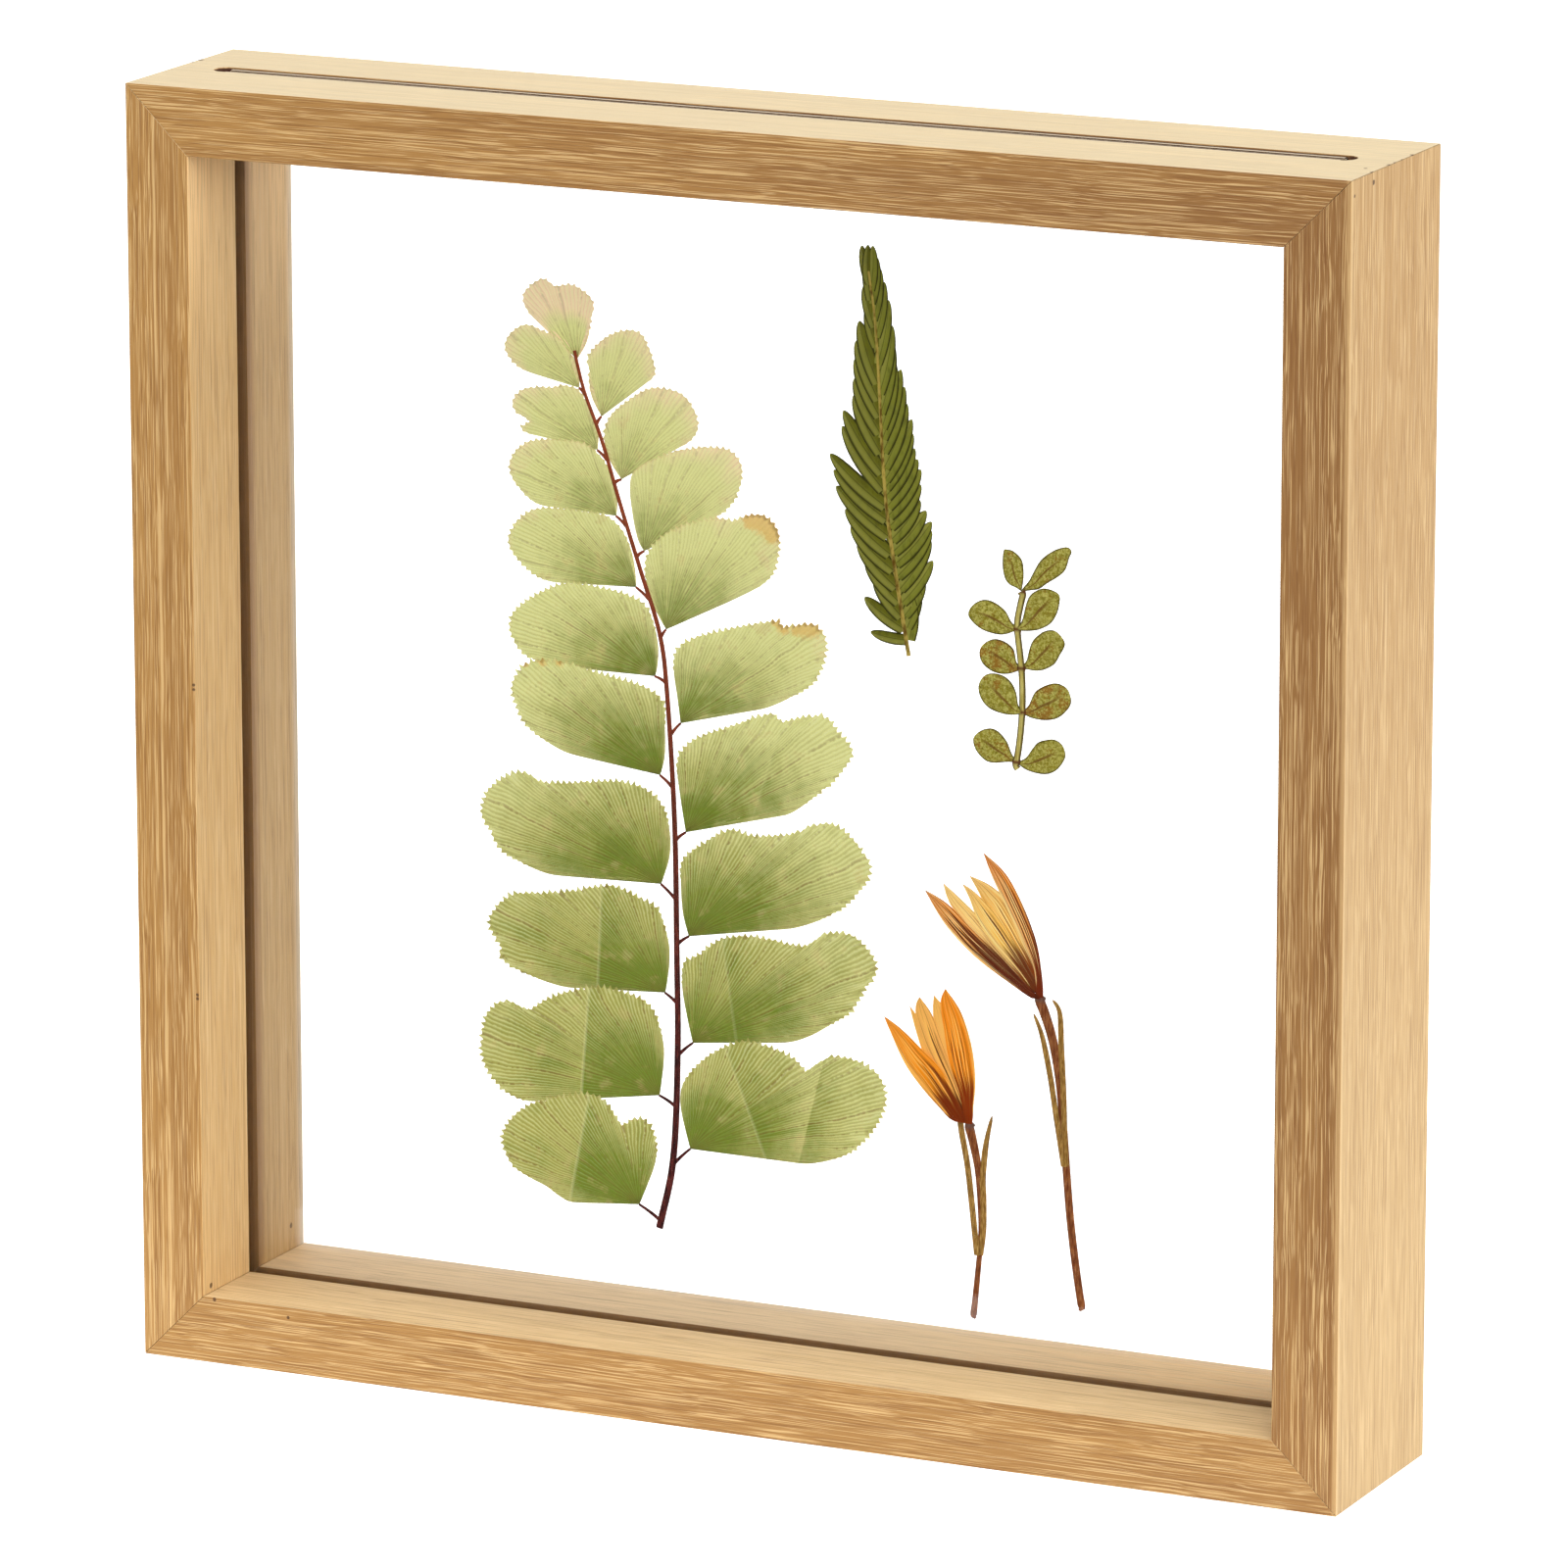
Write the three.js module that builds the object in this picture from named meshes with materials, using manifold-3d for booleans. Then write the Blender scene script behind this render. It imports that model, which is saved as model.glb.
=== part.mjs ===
// Pressed flower frame: four mitred wood rails hold two glass panes, with dried leaves and flowers
// between them.
// Millimetres, +Z up. The origin is the middle of the frame's underside, and the front looks along -Y.
import * as THREE from 'three';
import { mergeVertices } from 'three/addons/utils/BufferGeometryUtils.js';
import Module from 'manifold-3d';

const wasm = await Module();
wasm.setup();

// Frame
const frameSize = 200;
const frameDepth = 34.5;
const railFace = 10.5;
const mitreGap = 0.05;
const pocketWidth = 4.2;
const pocketReach = 93.8;
const pocketFloor = 6.5;
const pocketArcSteps = 8;

// Glass
const paneThickness = 1.4;
const paneHalfWidth = 91.7;
const paneInnerFace = 0.6;
const paneFoot = 6.6;
const paneTop = 199.8;

// Plants, pressed flat around the plane y = 0
const fernLeafThickness = 0.15;
const fernLeafSlope = 0.02;
const fernLeafSetBack = 0.2;
const fernTipSetBack = 0.42;
const fernStemThickness = 0.5;
const fernStemWidths = [0.95, 0.4];
const fernStalkWidth = 0.4;
const stalkGap = 0.1;
const sprigLeafThickness = 0.15;
const sprigStemWidth = 0.8;
const sprigStemThickness = 0.5;
const featherThickness = 0.3;
const featherRachisWidths = [0.35, 0.7];
const petalThickness = 0.12;
const petalPitch = 0.16;
const bractThickness = 0.12;
const flowerStemThickness = 0.36;

const group = new THREE.Group();
const half = frameSize / 2;

function finish(colour, roughness, metalness = 0) {
  return new THREE.MeshStandardMaterial({ color: colour, roughness, metalness });
}

function addPiece(name, geometry, material) {
  const mesh = new THREE.Mesh(geometry, material);
  mesh.name = name;
  group.add(mesh);
}

// Booleans
function toSolid(geometry) {
  const bare = geometry.clone();
  bare.deleteAttribute('normal');
  bare.deleteAttribute('uv');
  const merged = mergeVertices(bare, 1e-4);
  return new wasm.Manifold(new wasm.Mesh({
    numProp: 3,
    vertProperties: new Float32Array(merged.attributes.position.array),
    triVerts: new Uint32Array(merged.index.array),
  }));
}

function toGeometry(solid) {
  const mesh = solid.getMesh();
  const geometry = new THREE.BufferGeometry();
  geometry.setAttribute('position', new THREE.BufferAttribute(mesh.vertProperties, 3));
  geometry.setIndex(new THREE.BufferAttribute(mesh.triVerts, 1));
  geometry.computeVertexNormals();
  return geometry;
}

// A flat plate: an outline of [x, z] points given a thickness in y, centred on y = middle.
function plate(outline, thickness, middle = 0) {
  const shape = new THREE.Shape(outline.map(([x, z]) => new THREE.Vector2(x, z)));
  const geometry = new THREE.ExtrudeGeometry(shape, { depth: thickness, bevelEnabled: false, steps: 1 });
  geometry.rotateX(Math.PI / 2);
  geometry.translate(0, middle + thickness / 2, 0);
  return geometry;
}

// Leans a plate: each millimetre above the height footZ comes slope millimetres to the front.
function lean(geometry, footZ, slope) {
  const position = geometry.attributes.position;
  for (let i = 0; i < position.count; i += 1) {
    position.setY(i, position.getY(i) - slope * (position.getZ(i) - footZ));
  }
  return geometry;
}

// A smooth curve through the points, with steps samples between each two of them.
function smooth(points, steps) {
  const curve = new THREE.SplineCurve(points.map(([x, z]) => new THREE.Vector2(x, z)));
  return curve.getPoints(steps * (points.length - 1)).map((p) => [p.x, p.y]);
}

// The margin of a blade that starts and ends at its base. Its points are [out, up] from the base,
// and side is 1 where out is to the right and -1 where it is to the left.
function bladeOutline(base, margin, side, steps) {
  const points = [base, ...margin.map(([out, up]) => [base[0] + side * out, base[1] + up]), base];
  return smooth(points, steps).slice(0, -1);
}

// A blade with a sharp tip and a short level foot: two smooth edges run from the foot's ends to the tip.
function pointedOutline(base, foot, risingEdge, tip, fallingEdge, steps) {
  const place = ([out, up]) => [base[0] + out, base[1] + up];
  const rise = smooth([[-foot / 2, 0], ...risingEdge, tip].map(place), steps);
  const fall = smooth([tip, ...fallingEdge, [foot / 2, 0]].map(place), steps);
  return [...rise.slice(0, -1), ...fall];
}

// A ribbon along a smooth route. widthAt gives its width at a share of the route from 0 to 1.
function ribbonOutline(route, steps, widthAt) {
  const line = smooth(route, steps);
  const left = [];
  const right = [];
  line.forEach(([x, z], i) => {
    const before = line[Math.max(i - 1, 0)];
    const after = line[Math.min(i + 1, line.length - 1)];
    const dx = after[0] - before[0];
    const dz = after[1] - before[1];
    const reach = widthAt(i / (line.length - 1)) / 2 / Math.hypot(dx, dz);
    left.push([x - dz * reach, z + dx * reach]);
    right.unshift([x + dz * reach, z - dx * reach]);
  });
  return [...left, ...right];
}

function taper([first, last]) {
  return (share) => first + (last - first) * share;
}

// Frame rails

// The pocket that the panes slide into: open at the top of the frame, with round ends.
function pocketSolid() {
  const radius = pocketWidth / 2;
  const centre = pocketReach - radius;
  const shape = new THREE.Shape();
  shape.absarc(centre, 0, radius, -Math.PI / 2, Math.PI / 2);
  shape.absarc(-centre, 0, radius, Math.PI / 2, Math.PI * 1.5);
  const depth = frameSize - pocketFloor + 1;
  const options = { depth, bevelEnabled: false, curveSegments: pocketArcSteps };
  const geometry = new THREE.ExtrudeGeometry(shape, options);
  geometry.translate(0, 0, pocketFloor);
  return toSolid(geometry);
}

// The four corners of a rail lying along the bottom, turned to its own side of the frame.
function railOutline(quarterTurns) {
  const inner = half - railFace;
  const corners = [
    [-half + mitreGap, -half],
    [half - mitreGap, -half],
    [inner - mitreGap, -inner],
    [-inner + mitreGap, -inner],
  ];
  const turned = ([x, z]) => [[x, z], [-z, x], [-x, -z], [z, -x]][quarterTurns];
  return corners.map(turned).map(([x, z]) => [x, z + half]);
}

function addRails() {
  const pocket = pocketSolid();
  const names = ['frame_bottom', 'frame_right', 'frame_top', 'frame_left'];
  names.forEach((name, quarterTurns) => {
    const rail = toSolid(plate(railOutline(quarterTurns), frameDepth));
    addPiece(name, toGeometry(rail.subtract(pocket)), finish('#d9b27c', 0.6));
  });
}

function addPanes() {
  const middle = paneInnerFace + paneThickness / 2;
  [['glass_front', -middle], ['glass_back', middle]].forEach(([name, y]) => {
    const pane = new THREE.BoxGeometry(2 * paneHalfWidth, paneThickness, paneTop - paneFoot);
    pane.translate(0, y, (paneTop + paneFoot) / 2);
    addPiece(name, pane, finish('#eef4f2', 0.05));
  });
}

// Fern: a stem with a stalk to each leaf. Leaves are listed from the lowest one up.
const fernStemRoute = [
  [-19, 25.7], [-16.6, 37], [-15.8, 54], [-15.9, 70], [-16.2, 90], [-17.4, 110], [-18.6, 119],
  [-21.6, 128], [-25, 138], [-28.2, 148], [-31, 155], [-32.3, 159.6],
];
const fernLeftLeaves = [
  {
    base: [-22.5, 29],
    stalkFrom: [-18.9, 26.2],
    margin: [
      [6.5, -0.5], [12, -1], [16, 1], [21.5, 3.5], [23.5, 8], [21, 12], [17, 14.5], [10, 16.5], [6, 16],
      [3, 12.5], [1, 13.5], [-1.5, 13.5], [-3, 10], [-2.5, 6],
    ],
  },
  {
    base: [-19, 46.7],
    stalkFrom: [-16.2, 45],
    margin: [
      [4.5, -0.5], [13, -1.5], [22, -3.5], [27, -2], [30, 1.5], [30.5, 5], [29.5, 9.5], [26.5, 12],
      [22.5, 11], [18.5, 13.5], [11, 16], [4.5, 15.5], [1, 13.5], [-0.8, 8], [-0.5, 3],
    ],
  },
  {
    base: [-18, 63],
    stalkFrom: [-15.9, 61.6],
    margin: [
      [7.5, 0], [16.5, -1], [24, 0.5], [28, 2.5], [28, 4.5], [30, 8], [26.5, 12.5], [21, 13.5],
      [15.5, 14.5], [9, 16], [4, 14.5], [1, 13], [-0.8, 7.5], [-0.5, 2.5],
    ],
  },
  {
    base: [-18.6, 80],
    stalkFrom: [-16, 78.4],
    margin: [
      [6.5, 0.5], [18.5, -0.5], [27, 2.5], [29, 5.5], [30.5, 8], [29.5, 11.5], [26, 14.5], [23, 15],
      [20.5, 14], [14.5, 14.5], [7, 15.5], [2, 14.5], [-0.6, 12], [-1.6, 8], [-1.4, 4],
    ],
  },
  {
    base: [-18.7, 97],
    stalkFrom: [-16.4, 95.4],
    margin: [
      [7, 1], [16, 2], [22.5, 5.5], [24.5, 9], [25, 11.5], [23.5, 14.5], [20.5, 16], [15.5, 16], [10, 15],
      [4, 14], [-0.3, 12], [-0.9, 8], [-0.8, 3],
    ],
  },
  {
    base: [-19.5, 112.3],
    stalkFrom: [-17.6, 111.2],
    margin: [
      [8.5, 0], [15.5, 0], [21.5, 1], [24, 3.5], [24.5, 6.5], [22, 9.5], [15.5, 13], [9, 13], [3.5, 12],
      [1, 10], [-0.3, 5], [-0.3, 1.5],
    ],
  },
  {
    base: [-22.6, 125.8],
    stalkFrom: [-20.8, 125],
    margin: [
      [5, 0], [12, -0.5], [16.5, 0], [20.5, 3], [21.5, 6], [19, 9.5], [15, 11], [8.5, 11], [4.5, 10.5],
      [2, 7.5], [0.5, 2.5],
    ],
  },
  {
    base: [-25.9, 136.5],
    stalkFrom: [-24.6, 135.9],
    margin: [
      [5, 0.5], [12.5, 0.5], [16, 2.5], [18, 5.5], [17, 8.5], [14, 10.5], [9, 11], [4.5, 10.5], [2, 8],
      [0.5, 3.5],
    ],
  },
  {
    base: [-29, 146.4],
    stalkFrom: [-27.7, 145.7],
    margin: [
      [3.5, 1], [8, 1.5], [11.5, 1.5], [13, 2.5], [11.5, 3.5], [14, 5], [14, 7], [12, 8.5], [9, 9],
      [7.5, 9], [6, 9.5], [3, 9], [1.5, 6], [0.5, 3],
    ],
  },
  {
    base: [-32, 155.7],
    stalkFrom: [-31, 155],
    margin: [
      [2, 0.5], [3.5, 1], [7.5, 1.5], [10.5, 2.5], [12.5, 5], [11.5, 7.5], [9, 9], [6.5, 8.5], [3, 7],
      [1, 3],
    ],
  },
];
const fernRightLeaves = [
  {
    base: [-13.8, 38.8],
    stalkFrom: [-16.6, 36.8],
    margin: [
      [7, 0], [15, 0], [20, 0], [26, 2], [29.5, 5], [32, 8.5], [33, 12.5], [31, 16], [26, 17.5],
      [22.5, 16.5], [20, 14.5], [17.5, 16.5], [12.5, 18], [8.5, 18], [3, 15], [-1, 10.5], [-1.5, 6],
    ],
  },
  {
    base: [-13.3, 55.6],
    stalkFrom: [-15.8, 53.5],
    margin: [
      [7.5, 1], [16.5, 2], [22.5, 5], [27, 8.5], [29, 12], [31, 15], [29.5, 18], [26.5, 20], [22.5, 19.5],
      [19.5, 17.5], [15.5, 17.5], [10.5, 18], [5, 17], [1, 14], [-1.4, 12.5], [-1.6, 7.5],
    ],
  },
  {
    base: [-13.9, 72.3],
    stalkFrom: [-15.9, 70.2],
    margin: [
      [8.5, 2], [17, 3], [24, 6], [28.5, 10], [30.5, 13.5], [29.5, 16], [26, 19.5], [22.5, 20], [18, 18],
      [11, 17], [7, 17.5], [2, 14.5], [-0.9, 12], [-1.3, 8.5], [-1, 3.5],
    ],
  },
  {
    base: [-14.4, 88.5],
    stalkFrom: [-16.2, 86.6],
    margin: [
      [9.5, 3.5], [17, 4.5], [23, 9], [26, 12], [28, 15.5], [25.5, 18.5], [23, 20.5], [16.5, 19],
      [14.5, 20], [8, 17.5], [2, 15], [-1, 12], [-1.2, 8],
    ],
  },
  {
    base: [-15.2, 105.4],
    stalkFrom: [-16.9, 103.8],
    margin: [
      [5, 2], [13.5, 3.5], [19.5, 6.5], [23, 9.5], [24.5, 14.5], [22.5, 17.5], [17.5, 16.5], [16.5, 17.5],
      [10, 16], [3.5, 14], [0, 12], [-1, 9], [-0.5, 4.5],
    ],
  },
  {
    base: [-17.6, 119.7],
    stalkFrom: [-18.8, 118.6],
    margin: [
      [6, 3], [15.5, 8], [18.5, 11.5], [19, 16.5], [17, 19], [14, 19], [11.5, 18], [8, 18], [2, 16],
      [-2, 13], [-3.2, 9.5], [-2.1, 4.5],
    ],
  },
  {
    base: [-21.2, 131.5],
    stalkFrom: [-22.6, 130.4],
    margin: [
      [4, 3], [10.5, 5.5], [15, 9], [16.5, 14], [14, 17], [7.5, 16.5], [2, 14.5], [-2, 11.5], [-2, 6],
      [-1, 1.5],
    ],
  },
  {
    base: [-25, 142.2],
    stalkFrom: [-26.1, 141.2],
    margin: [
      [5, 3.5], [11, 6.5], [13, 9.5], [11.5, 13], [9, 14.5], [5, 14.5], [1.5, 12.5], [-1.5, 10],
      [-2.5, 7.5], [-1.5, 3.5],
    ],
  },
  {
    base: [-28.3, 151.6],
    stalkFrom: [-29.3, 150.8],
    margin: [
      [3.5, 3], [8.5, 6.5], [9, 8.5], [8, 11.5], [6.5, 13.5], [3.5, 13.5], [0.5, 12], [-2, 9.5], [-2, 7.5],
      [-1, 3.5],
    ],
  },
];
const fernTipLeaf = {
  base: [-32.5, 160],
  margin: [
    [2, 3], [4.5, 4.5], [7.5, 6], [9, 8.5], [8, 10.5], [5.5, 12], [3.5, 11], [1, 11.5], [-1.5, 10.5],
    [-3, 8.5], [-1.5, 4.5],
  ],
};

function fernLeaf(leaf, side, setBack) {
  const outline = bladeOutline(leaf.base, leaf.margin, side, 2);
  return lean(plate(outline, fernLeafThickness, setBack), leaf.base[1], fernLeafSlope);
}

// A straight stalk that ends just short of the leaf that it carries.
function stalkOutline(from, to) {
  const length = Math.hypot(to[0] - from[0], to[1] - from[1]);
  const share = 1 - stalkGap / length;
  const end = [from[0] + (to[0] - from[0]) * share, from[1] + (to[1] - from[1]) * share];
  return ribbonOutline([from, end], 1, () => fernStalkWidth);
}

function addFern() {
  const green = finish('#a9ad5c', 0.7);
  let stem = toSolid(plate(ribbonOutline(fernStemRoute, 2, taper(fernStemWidths)), fernStemThickness));
  [...fernLeftLeaves, ...fernRightLeaves].forEach((leaf) => {
    stem = stem.add(toSolid(plate(stalkOutline(leaf.stalkFrom, leaf.base), fernStemThickness)));
  });
  addPiece('fern_stem', toGeometry(stem), finish('#5a3423', 0.6));
  [['left', -1, fernLeftLeaves], ['right', 1, fernRightLeaves]].forEach(([word, side, leaves]) => {
    leaves.forEach((leaf, i) => {
      addPiece(`fern_leaf_${word}_${i + 1}`, fernLeaf(leaf, side, fernLeafSetBack), green.clone());
    });
  });
  addPiece('fern_leaf_tip', fernLeaf(fernTipLeaf, -1, fernTipSetBack), green.clone());
}

// Feather leaf: narrow leaflets, each from its place on the rachis to its tip, grown as one with it.
const rachisRoute = [
  [16.1, 177.4], [17.2, 169.8], [18, 157.7], [18.5, 148.5], [19.3, 140.2], [21, 129.6], [22.8, 119.5],
];
const leftLeaflets = [
  { base: [16.3, 175.4], tip: [15, 181], width: 1.1 },
  { base: [16.5, 173], tip: [15.8, 181], width: 1.1 },
  { base: [17.1, 169], tip: [15.4, 175.3], width: 1.3 },
  { base: [17.4, 166], tip: [15.8, 172], width: 1.3 },
  { base: [17.7, 160.5], tip: [14.6, 169.8], width: 1.8 },
  { base: [17.8, 158], tip: [14.1, 166.8], width: 1.8 },
  { base: [18, 155.5], tip: [13.9, 164], width: 1.8 },
  { base: [18.1, 153], tip: [13.8, 161], width: 1.9 },
  { base: [18.2, 150], tip: [13.7, 158.5], width: 1.9 },
  { base: [18.4, 147], tip: [12, 156], width: 1.9 },
  { base: [18.6, 144.5], tip: [11.8, 153.6], width: 1.9 },
  { base: [18.9, 142], tip: [9.8, 149.2], width: 1.9 },
  { base: [19.1, 140], tip: [10.4, 146.8], width: 1.9 },
  { base: [19.4, 137.5], tip: [10.8, 144.4], width: 1.9 },
  { base: [19.7, 134.8], tip: [12.3, 141], width: 1.9 },
  { base: [20.7, 129.8], tip: [14.3, 136], width: 1.9 },
  { base: [21.6, 125.4], tip: [17, 131], width: 1.8 },
  { base: [22, 123.6], tip: [15.5, 127.8], width: 1.7 },
  { base: [22.5, 121.9], tip: [16.5, 122.6], width: 1.3 },
];
const rightLeaflets = [
  { base: [16.4, 174.5], tip: [17, 181], width: 1.1 },
  { base: [16.6, 172.5], tip: [17.6, 179.6], width: 1.1 },
  { base: [16.9, 170], tip: [18, 178], width: 1.2 },
  { base: [17.3, 167.5], tip: [18.7, 176], width: 1.3 },
  { base: [17.6, 163.5], tip: [19.4, 173.3], width: 1.4 },
  { base: [17.9, 159], tip: [20, 169.5], width: 1.5 },
  { base: [18.1, 156], tip: [20.2, 166.8], width: 1.5 },
  { base: [18.3, 153.8], tip: [20.5, 163.8], width: 1.6 },
  { base: [18.4, 152.2], tip: [21.4, 163], width: 1.6 },
  { base: [18.5, 150.2], tip: [22, 160.4], width: 1.7 },
  { base: [18.7, 147.8], tip: [22.4, 157.9], width: 1.7 },
  { base: [18.8, 146], tip: [23.2, 155.6], width: 1.7 },
  { base: [19, 143.5], tip: [23.7, 151.2], width: 1.8 },
  { base: [19.4, 140.6], tip: [24.7, 148.1], width: 1.8 },
  { base: [19.9, 137], tip: [24.6, 143.4], width: 1.8 },
  { base: [20.6, 133.4], tip: [26.5, 140.3], width: 1.7 },
  { base: [21.3, 129.6], tip: [26.4, 137.4], width: 1.7 },
  { base: [21.7, 127.6], tip: [26.7, 134.4], width: 1.6 },
  { base: [22.1, 125.6], tip: [25.4, 131.2], width: 1.5 },
  { base: [22.9, 121.9], tip: [23.4, 128.6], width: 1.6 },
];
const leafletSteps = 4;

// A strap-shaped leaflet: full width along its middle, with a blunt tip and a narrower foot.
function leafletOutline({ base, tip, width }) {
  const dx = tip[0] - base[0];
  const dz = tip[1] - base[1];
  const length = Math.hypot(dx, dz);
  const side = (share, sign) => {
    const reach = (sign * width / 2) * Math.sqrt(1 - (2 * share - 1) ** 4) / length;
    return [base[0] + dx * share - dz * reach, base[1] + dz * share + dx * reach];
  };
  const share = (step) => (1 - Math.cos((Math.PI * step) / leafletSteps)) / 2;
  const shares = Array.from({ length: leafletSteps - 1 }, (_, i) => share(i + 1));
  const up = shares.map((share) => side(share, -1));
  const down = shares.map((share) => side(share, 1)).reverse();
  return [base, ...up, tip, ...down];
}

function addFeatherLeaf() {
  let leaf = toSolid(plate(ribbonOutline(rachisRoute, 3, taper(featherRachisWidths)), featherThickness));
  [...leftLeaflets, ...rightLeaflets].forEach((leaflet) => {
    leaf = leaf.add(toSolid(plate(leafletOutline(leaflet), featherThickness)));
  });
  addPiece('feather_leaf', toGeometry(leaf), finish('#6b6f2c', 0.7));
}

// Sprig: pairs of rounded leaves on a straight stem, from the bottom up. setBack is how far a leaf lies
// behind.
const sprigStemRoute = [
  [40.3, 104], [41, 108.5], [41.4, 114], [41.2, 119.5], [40.5, 125.5], [40.9, 128.5], [41.5, 131],
];
const sprigLeaves = [
  {
    name: 'left_1', base: [39.8, 105.1], side: -1, setBack: 0,
    margin: [
      [0.8, -0.2], [2.8, -0.6], [4.4, -0.4], [5.8, 0.8], [6.4, 2.2], [6.2, 3.2], [5, 4.2], [3.4, 4.6],
      [2, 4], [0.8, 2.6], [0.2, 1],
    ],
  },
  {
    name: 'right_1', base: [41.2, 104.8], side: 1, setBack: 0,
    margin: [
      [0.8, -0.8], [2.4, -1.2], [4.2, -1.2], [5.8, -0.4], [7, 1.2], [7.2, 2.4], [6.6, 3.6], [5.4, 4.2],
      [4, 4], [2.6, 3.4], [1.4, 1.8], [0.6, 0.6],
    ],
  },
  {
    name: 'left_2', base: [40.7, 112.6], side: -1, setBack: -0.2,
    margin: [
      [0.6, -0.4], [2.4, -0.4], [4.6, 0.2], [6, 1.6], [6.4, 3.4], [5.6, 5], [4.2, 5.6], [2.4, 5.4],
      [1, 4.4], [0.2, 2.8], [0, 1],
    ],
  },
  {
    name: 'right_2', base: [42, 112.6], side: 1, setBack: 0,
    margin: [
      [0.8, -0.6], [2.8, -0.8], [4.8, -0.4], [6.2, 0.6], [7.2, 2], [7.2, 3.2], [6.6, 4.4], [5.2, 5],
      [3.8, 4.8], [2.2, 4], [1.2, 3], [0.4, 1],
    ],
  },
  {
    name: 'left_3', base: [40.5, 119.2], side: -1, setBack: 0.1,
    margin: [
      [0.4, -0.6], [2.2, -1], [4, -0.8], [5.6, 0.2], [6.2, 1.6], [5.8, 3], [4.4, 4], [3.2, 4.2], [1.8, 3.8],
      [0.6, 2.8], [0.2, 0.8],
    ],
  },
  {
    name: 'right_3', base: [42, 119.4], side: 1, setBack: 0.1,
    margin: [
      [1.2, -0.2], [2.6, 0], [4.4, 1], [5.4, 2.6], [6.2, 4.2], [5.6, 5.4], [4.4, 6.2], [3, 6], [1.8, 5.2],
      [0.8, 4], [0.2, 2],
    ],
  },
  {
    name: 'left_4', base: [39.8, 125.2], side: -1, setBack: -0.1,
    margin: [
      [0.4, -0.6], [2, -1], [4, -0.8], [5.6, -0.2], [7, 1], [7.2, 2], [6.4, 3.2], [5, 4], [3.6, 4],
      [2.2, 3.4], [1, 2.4], [0.2, 0.8],
    ],
  },
  {
    name: 'right_4', base: [41.2, 125.3], side: 1, setBack: -0.2,
    margin: [
      [0.4, -0.2], [1.8, 0], [3.2, 0.4], [4.8, 1.4], [5.8, 3], [6.2, 4.6], [6.2, 5.8], [5.2, 6.4],
      [3.6, 6.6], [2.2, 6], [1.2, 5], [0.6, 3.2], [0.2, 1.2],
    ],
  },
  {
    name: 'left_5', base: [41.2, 131.4], side: -1, setBack: 0.1,
    margin: [
      [1.8, 0.4], [2.8, 1.4], [3.2, 3.4], [3, 5.6], [2.4, 5.8], [1.4, 5.6], [0.2, 4.6], [-0.2, 3.2],
      [-0.2, 1.4],
    ],
  },
  {
    name: 'right_5', base: [42, 131.4], side: 1, setBack: 0.1,
    margin: [
      [0.4, 1.4], [2, 4.4], [3.8, 6], [5.4, 6.8], [6.6, 7], [7.2, 6.4], [6.8, 5.4], [6.2, 3.6], [5, 2.4],
      [3.2, 1.2], [1.8, 0.2],
    ],
  },
];

function addSprig() {
  const stem = plate(ribbonOutline(sprigStemRoute, 3, () => sprigStemWidth), sprigStemThickness);
  addPiece('sprig_stem', stem, finish('#8a6a2e', 0.6));
  sprigLeaves.forEach(({ name, base, side, setBack, margin }) => {
    const leaf = plate(bladeOutline(base, margin, side, 2), sprigLeafThickness, setBack);
    addPiece(`sprig_leaf_${name}`, leaf, finish('#a3a045', 0.7));
  });
}

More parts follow.
